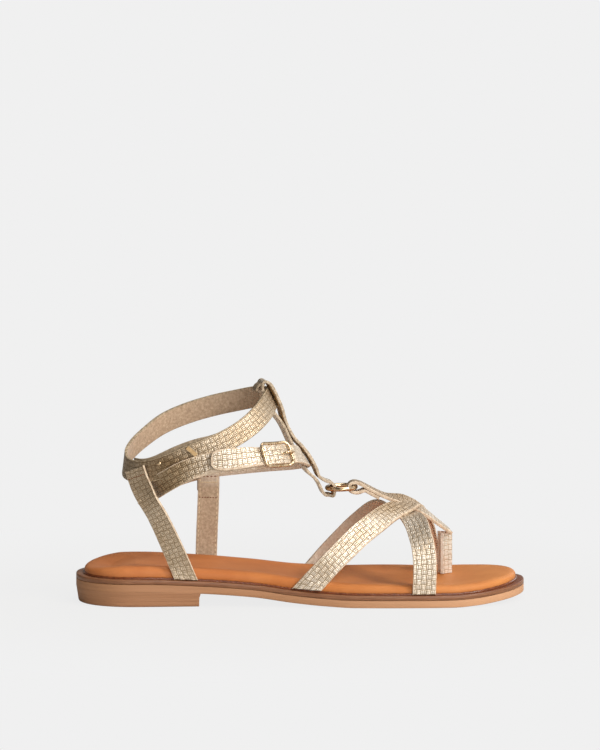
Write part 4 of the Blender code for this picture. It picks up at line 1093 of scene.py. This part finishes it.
def makeBuckle():
    # a wire bent to a rounded rectangle, read at even steps, whose end bars stand proud by the square of the
    # share of its length. A thinner bar dips behind the strap across its middle, and the prong is a tube on a
    # side view of seven points
    along, up, out = buckleAxes()
    centre = np.array(metal["buckleCentre"])
    halfLength = (metal["buckleLength"] - metal["buckleWire"]) / 2
    halfHeight = (metal["buckleHeight"] - metal["buckleWire"]) / 2
    corner = 3.0
    t = np.linspace(0, math.pi / 2, 9)
    arc = np.stack([np.cos(t), np.sin(t)], 1) * corner
    inner = np.array([halfLength - corner, halfHeight - corner])
    turns = []
    for k, (sx, sz) in enumerate(((1, 1), (-1, 1), (-1, -1), (1, -1))):
        piece = arc if k % 2 == 0 else arc[::-1]
        turns.append((piece + inner) * (sx, sz))
    outline = np.concatenate(turns)
    following = np.roll(outline, -1, 0)
    long = np.linalg.norm(following - outline, axis=1)
    run = np.concatenate([[0], np.cumsum(long)])
    even = np.linspace(0, run[-1], 120, endpoint=False)
    loop = np.vstack([outline, outline[:1]])
    flat = np.stack([np.interp(even, run, loop[:, 0]), np.interp(even, run, loop[:, 1])], 1)
    rise = metal["endBarRise"] * (flat[:, 0] / halfLength) ** 2
    line = centre + along * flat[:, :1] + up * flat[:, 1:] + out * rise[:, None]
    points, quads, _ = sweptTube(line, metal["buckleWire"] / 2, 16, closed=True)
    frameWire = meshPiece("buckle_frame_wire", points, quads, [gilt])
    mount(frameWire, "gilt_metal", "buckle_frame")
    deep = metal["middleBarDepth"]
    v = np.linspace(-halfHeight, halfHeight, 41)
    dip = -deep * np.clip((halfHeight - np.abs(v)) / 0.6, 0, 1)
    bar = centre + up * v[:, None] + out * dip[:, None]
    points, quads, rounds = sweptTube(bar, metal["middleBarWire"] / 2, 14)
    middle = meshPiece("buckle_middle_bar", points, quads, [gilt], None, rounds)
    mount(middle, "gilt_metal", "buckle_frame")
    overStrap = straps["thickness"] / 2 + 0.3 + metal["prongWire"] / 2
    overBar = metal["endBarRise"] + metal["buckleWire"] / 2 + 0.3 + metal["prongWire"] / 2
    root = metal["prongRoot"]
    sideView = np.array([
        (root, -deep), (root, overStrap * 0.3), (root + 0.6, overStrap), (root + 1.8, overStrap + 0.7),
        (halfLength - 1.2, overBar + 0.1), (halfLength, overBar + 0.1), (halfLength + 1.3, overBar - 0.5),
    ])
    rows = centre + along * sideView[:, :1] + out * sideView[:, 1:]
    line, run, total = curveThrough(rows, 0.3)
    taper = 1 - 0.35 * np.clip((run / total - 0.75) / 0.25, 0, 1) ** 2
    points, quads, rounds = sweptTube(line, metal["prongWire"] / 2, 14, taper=taper)
    prong = meshPiece("buckle_prong_pin", points, quads, [gilt], None, rounds)
    mount(prong, "gilt_metal", "buckle_prong")


makeRing()
makeBuckle()
print("metal parts ready")


def stitchRow(name, strap, side, face, pitch, size, span, thread, acrossWay=False):
    # small rounded threads sewn on a strap, each a squashed ball set at even steps. side is the distance from
    # the strap's middle line, face 1 for its foil and -1 for its lining, span the first and last place along
    # it (or across it), size (length, width, rise)
    middle, across, normal, along, thickness = laid[strap]
    ahead = np.gradient(middle, axis=0)
    ahead /= np.linalg.norm(ahead, axis=1)[:, None]

    def read(values, at):
        # the strap's own directions between its steps, mixed straight
        return np.stack([np.interp(at, along, values[:, k]) for k in range(3)], 1)

    if acrossWay:
        over = np.arange(span[0], span[1], pitch)
        at = np.full(len(over), float(side))
        long, wide = read(across, at), read(ahead, at)
    else:
        at = np.arange(span[0], span[1], pitch)
        over = np.full(len(at), float(side))
        long, wide = read(ahead, at), read(across, at)
    out = read(normal, at) * face
    centre = read(middle, at) + read(across, at) * over[:, None] + out * (thickness / 2 - 0.02)
    lat = np.linspace(0, math.pi, 6)[1:-1]
    lon = np.linspace(0, 2 * math.pi, 8, endpoint=False)
    ball = np.stack([np.repeat(np.cos(lat), 8), np.outer(np.sin(lat), np.cos(lon)).ravel(),
                     np.outer(np.sin(lat), np.sin(lon)).ravel()], 1)
    ball = np.vstack([ball, [[1, 0, 0], [-1, 0, 0]]]) * (np.array(size) / 2)
    k = len(at)
    points = (centre[:, None] + long[:, None] * ball[:, :1] + wide[:, None] * ball[:, 1:2]
              + out[:, None] * ball[:, 2:])
    body = gridFaces(4, 8, False, True)
    first = np.arange(8)
    topCap = np.stack([first, (first + 1) % 8, np.full(8, 32)], 1)[:, ::-1]
    lowCap = np.stack([24 + first, 24 + (first + 1) % 8, np.full(8, 33)], 1)
    quads = (body[None] + np.arange(k)[:, None, None] * 34).reshape(-1, 4)
    caps = (np.concatenate([topCap, lowCap])[None] + np.arange(k)[:, None, None] * 34).reshape(-1, 3)
    piece = meshPiece(name, points.reshape(-1, 3), quads, [thread], None, caps.tolist())
    return mount(piece, "metallic_leather")


sewing = {
    "pitch": 2.6,
    "thread": (1.7, 0.5, 0.35),  # millimetres: length, width and rise of one stitch
    "inset": 4.9,  # from the strap's middle line
    "across": (-4.8, 5.0),
}


def makeStitches():
    # rows at fixed places: the inner heel strap is sewn along both edges and across its turned end, the outer
    # one across its top, and the front crossing strap along its inner end
    step, size, inset, full = sewing["pitch"], sewing["thread"], sewing["inset"], sewing["across"]
    for sign, word in ((1, "front"), (-1, "back")):
        stitchRow("stitches_far_" + word, "heel_strap_far", sign * inset, 1, step, size, (4, 63), beigeThread)
        stitchRow("stitches_far_lining_" + word, "heel_strap_far", sign * inset, -1, step, size, (4, 63),
                  beigeThread)
    total = laid["cross_strap_front"][3][-1]
    stitchRow("stitches_cross_front", "cross_strap_front", -5.9, -1, 1.25, (0.75, 1.3, 0.5),
              (total - 52, total - 5), brownThread)
    for place, long, word in ((38.5, 1.0, "low"), (50.6, 1.4, "high")):
        stitchRow("stitches_far_across_" + word, "heel_strap_far", place, 1, 1.5 * long, (long, 0.7, 0.5),
                  full, brownThread, True)
    stitchRow("stitches_near_across", "heel_strap_near", 64.5, 1, 1.5, (1.1, 0.6, 0.4), full, brownThread,
              True)
    stitchRow("stitches_far_band", "heel_strap_far", 47.2, 1, 1.3, (1.5, 0.7, 0.5), full, beigeThread, True)


makeStitches()
print("stitches ready")


trim = {
    "innerWidth": 8.0,  # the inner layer that shows above the near side of the upper ankle strap
    "innerThickness": 1.0,
    "flapRows": ((105.2, 1.5, 121.6), (102.6, 1.5, 120.9), (100.4, 1.5, 119.2), (99.7, 1.5, 116.9)),
    "flapWidth": 8.0,
    "tabRows": ((60.6, -33.5, 90.3), (63.2, -33.7, 88.1), (65.8, -33.9, 85.9)),
    "tabWidth": 3.0,
    "flapThickness": 1.2,
    "rivetNear": (46.6, -28.6, 78.2),
    "rivetSize": (1.1, 0.6),
    "rivetDrop": -2.6,
}


def makeInnerLayer():
    # the upper ankle strap's middle line moved in by half of both layers and up by a bell and a straight fall
    middle, across, normal, _, thickness = laid["ankle_strap_upper"]
    near = (middle[:, 1] < -8) & (middle[:, 0] > 30) & (middle[:, 0] < 92)
    pick = np.where(near)[0][::12]
    share = (middle[pick, 0] - 30) / 62
    rise = 3.2 + 1.2 * np.exp(-((share - 0.42) / 0.2) ** 2) - 2.6 * np.clip((share - 0.62) / 0.38, 0, 1)
    inwards = thickness / 2 + trim["innerThickness"] / 2 + 0.12
    rows = middle[pick] + across[pick] * rise[:, None] - normal[pick] * inwards
    rows = np.column_stack([rows, across[pick]])
    return mount(makeStrap("ankle_inner_layer", rows, trim["innerWidth"], ankleMiddle,
                           thickness=trim["innerThickness"], faces=(greyLayer, greyLayer, greyLayer)),
                 "metallic_leather")


def makeFlap():
    # a strap on four rows: the upper ankle strap's inner end, folded over in the top of the instep strap's
    # loop
    rows = [(*row, -0.2, 1.0, 0.0) for row in trim["flapRows"]]
    return mount(makeStrap("ankle_flap", rows, trim["flapWidth"], (110.0, 1.5, 110.0),
                           thickness=trim["flapThickness"], faces=(greyLayer, greyLayer, greyLayer)),
                 "metallic_leather")


def makeTab():
    # a short straight strap: the light end that crosses the upper ankle strap
    rows = [(*row, 0.66, 0.0, 0.75) for row in trim["tabRows"]]
    return mount(makeStrap("ankle_slot_tab", rows, trim["tabWidth"], ankleMiddle,
                           thickness=trim["flapThickness"], faces=(tanLayer, shadeEdge, greyLayer)),
                 "metallic_leather")


def makeRivet():
    # a low round head: rings of a quarter circle, set on the rear of the upper ankle strap
    middle, across, normal, _, thickness = laid["ankle_strap_upper"]
    at = int(np.argmin(np.linalg.norm(middle - np.array(trim["rivetNear"]), axis=1)))
    radius, high = trim["rivetSize"]
    lat = np.linspace(0, math.pi / 2, 7)[:-1]
    lon = np.linspace(0, 2 * math.pi, 20, endpoint=False)
    sideways = np.cross(normal[at], across[at])
    flat = np.cos(lat)[:, None, None] * radius * (
        np.cos(lon)[None, :, None] * across[at] + np.sin(lon)[None, :, None] * sideways)
    rise = np.sin(lat)[:, None, None] * high * normal[at]
    points = middle[at] + normal[at] * (thickness / 2 - 0.05) - across[at] * trim["rivetDrop"] + flat + rise
    quads = gridFaces(6, 20, False, True)
    rounds = [range(19, -1, -1), range(100, 120)]
    return mount(meshPiece("ankle_rivet", points.reshape(-1, 3), quads, [gilt], None, rounds), "gilt_metal")


makeInnerLayer()
makeFlap()
makeTab()
makeRivet()
print("trim ready")


setting = {
    "backdrop": "f0f0f0",
    "turn": -2.5,
    "rise": 8.0,
    "distance": 9.0,  # far enough that the view is all but parallel, as the photograph's is
    "mmPerPixel": 0.558,
    "heelColumn": 76.5,
    "ballRow": 607.5,
    # the room's brightness by direction: an axis, two places along it and the brightness at each of them
    "room": (("X", -0.70, 0.45, 0.05, 1.15), ("Z", -0.2, 0.7, 0.95, 0.5), ("Y", -0.1, 0.8, 1.0, 0.55)),
    "shadow": 0.07,  # how much of the contact shadow shows
    "floor": (6.0, 0.0002),  # metres: half its side, and how far it lies under the soles
    "lights": (
        ("key", (1.1, -1.0, 1.3), 0.55, 21.0, "fff8ee"),
        ("front", (0.5, -1.9, 0.5), 0.8, 14.0, "ffffff"),
        ("top", (0.3, 0.2, 1.8), 1.0, 9.0, "ffffff"),
        ("fill", (-1.6, -0.9, 0.7), 1.2, 3.0, "fff6ea"),
        ("rim", (0.9, 1.5, 0.8), 0.8, 3.0, "ffffff"),
    ),
}


def makeSetting():
    # the camera sees plain pale paper. The shoe is lit by a room that is dim behind the heel, bright ahead of
    # the toe and dimmer above and beyond, so that the foil has something to mirror
    world = bpy.data.worlds.new("studio")
    bpy.context.scene.world = world
    world.use_nodes = True
    tree = world.node_tree
    paper = tree.nodes["Background"]
    paper.inputs["Color"].default_value = hexColour(setting["backdrop"])
    ray = addNode(tree, "TexCoord").outputs["Generated"]
    room = addNode(tree, "Background", {"Color": hexColour("fbf6ee")},
                   {"Strength": placeMask(tree, ray, setting["room"], "SMOOTHSTEP")})
    path = addNode(tree, "LightPath")
    seen = addNode(tree, "MixShader", {},
                   {0: path.outputs["Is Camera Ray"], 1: room.outputs[0], 2: paper.outputs[0]})
    tree.links.new(seen.outputs[0], tree.nodes["World Output"].inputs["Surface"])
    floorMaterial, floorTree, floorShader = newMaterial("pale_paper")
    floorTree.nodes.remove(floorShader)
    glow = addNode(floorTree, "Emission", {"Color": hexColour(setting["backdrop"]), "Strength": 1.0})
    matt = addNode(floorTree, "BsdfDiffuse", {"Color": hexColour("d2cfca")})
    where = addNode(floorTree, "TexCoord")
    far = addNode(floorTree, "VectorMath", {"operation": "LENGTH"}, {0: where.outputs["Object"]})
    share = addNode(floorTree, "MapRange",
                    {"interpolation_type": "SMOOTHSTEP", "From Min": 0.10, "From Max": 0.30,
                     "To Min": setting["shadow"], "To Max": 0.0}, {"Value": far.outputs["Value"]})
    plain = addNode(floorTree, "MixShader", {},
                    {0: share.outputs[0], 1: glow.outputs[0], 2: matt.outputs[0]})
    ray = addNode(floorTree, "LightPath")
    both = addNode(floorTree, "MixShader", {},
                   {0: ray.outputs["Is Camera Ray"], 1: matt.outputs[0], 2: plain.outputs[0]})
    floorTree.links.new(both.outputs[0], floorTree.nodes["Material Output"].inputs["Surface"])
    mesh = bpy.data.meshes.new("floor")
    reach, below = setting["floor"]
    corners = [(x * reach, y * reach, -below) for x, y in ((-1, -1), (1, -1), (1, 1), (-1, 1))]
    mesh.from_pydata(corners, [], [(0, 1, 2, 3)])
    mesh.materials.append(floorMaterial)
    floor = bpy.data.objects.new("floor", mesh)
    bpy.context.scene.collection.objects.link(floor)
    for name, place, size, power, colour in setting["lights"]:
        light = bpy.data.objects.new(name, bpy.data.lights.new(name, "AREA"))
        light.data.size = size
        light.data.energy = power
        light.data.color = hexColour(colour)[:3]
        light.location = place
        light.rotation_mode = "QUATERNION"
        light.rotation_quaternion = (Vector((0, 0, 0.04)) - Vector(place)).to_track_quat("-Z", "Y")
        bpy.context.scene.collection.objects.link(light)


def makeCamera():
    # the frame is 600 by 750 pixels; the heel's back and the ball's near ground edge fix where it looks
    turn, rise = math.radians(setting["turn"]), math.radians(setting["rise"])
    back = Vector((math.sin(turn) * math.cos(rise), -math.cos(turn) * math.cos(rise), math.sin(rise)))
    right = Vector((math.cos(turn), math.sin(turn), 0.0))
    up = right.cross(-back)
    pixel = setting["mmPerPixel"] * 0.001
    ball = (Vector((170.0, -39.6, 0.0)) - Vector(soleMiddle)) * 0.001
    heel = Vector((0.0, 0.0, 0.0)) - Vector(soleMiddle) * 0.001
    aim = (right * (heel.dot(right) + (300 - setting["heelColumn"]) * pixel)
           + up * (ball.dot(up) + (setting["ballRow"] - 375) * pixel))
    camera = bpy.data.objects.new("camera", bpy.data.cameras.new("camera"))
    bpy.context.scene.collection.objects.link(camera)
    camera.location = aim + back * setting["distance"]
    camera.rotation_mode = "QUATERNION"
    camera.rotation_quaternion = (-back).to_track_quat("-Z", "Y")
    camera.data.sensor_width = 36.0
    camera.data.lens = 36.0 * setting["distance"] / (750 * pixel)
    camera.data.clip_end = 40
    bpy.context.scene.camera = camera


bpy.context.scene.view_settings.view_transform = "Standard"
makeSetting()
makeCamera()
print("setting ready")
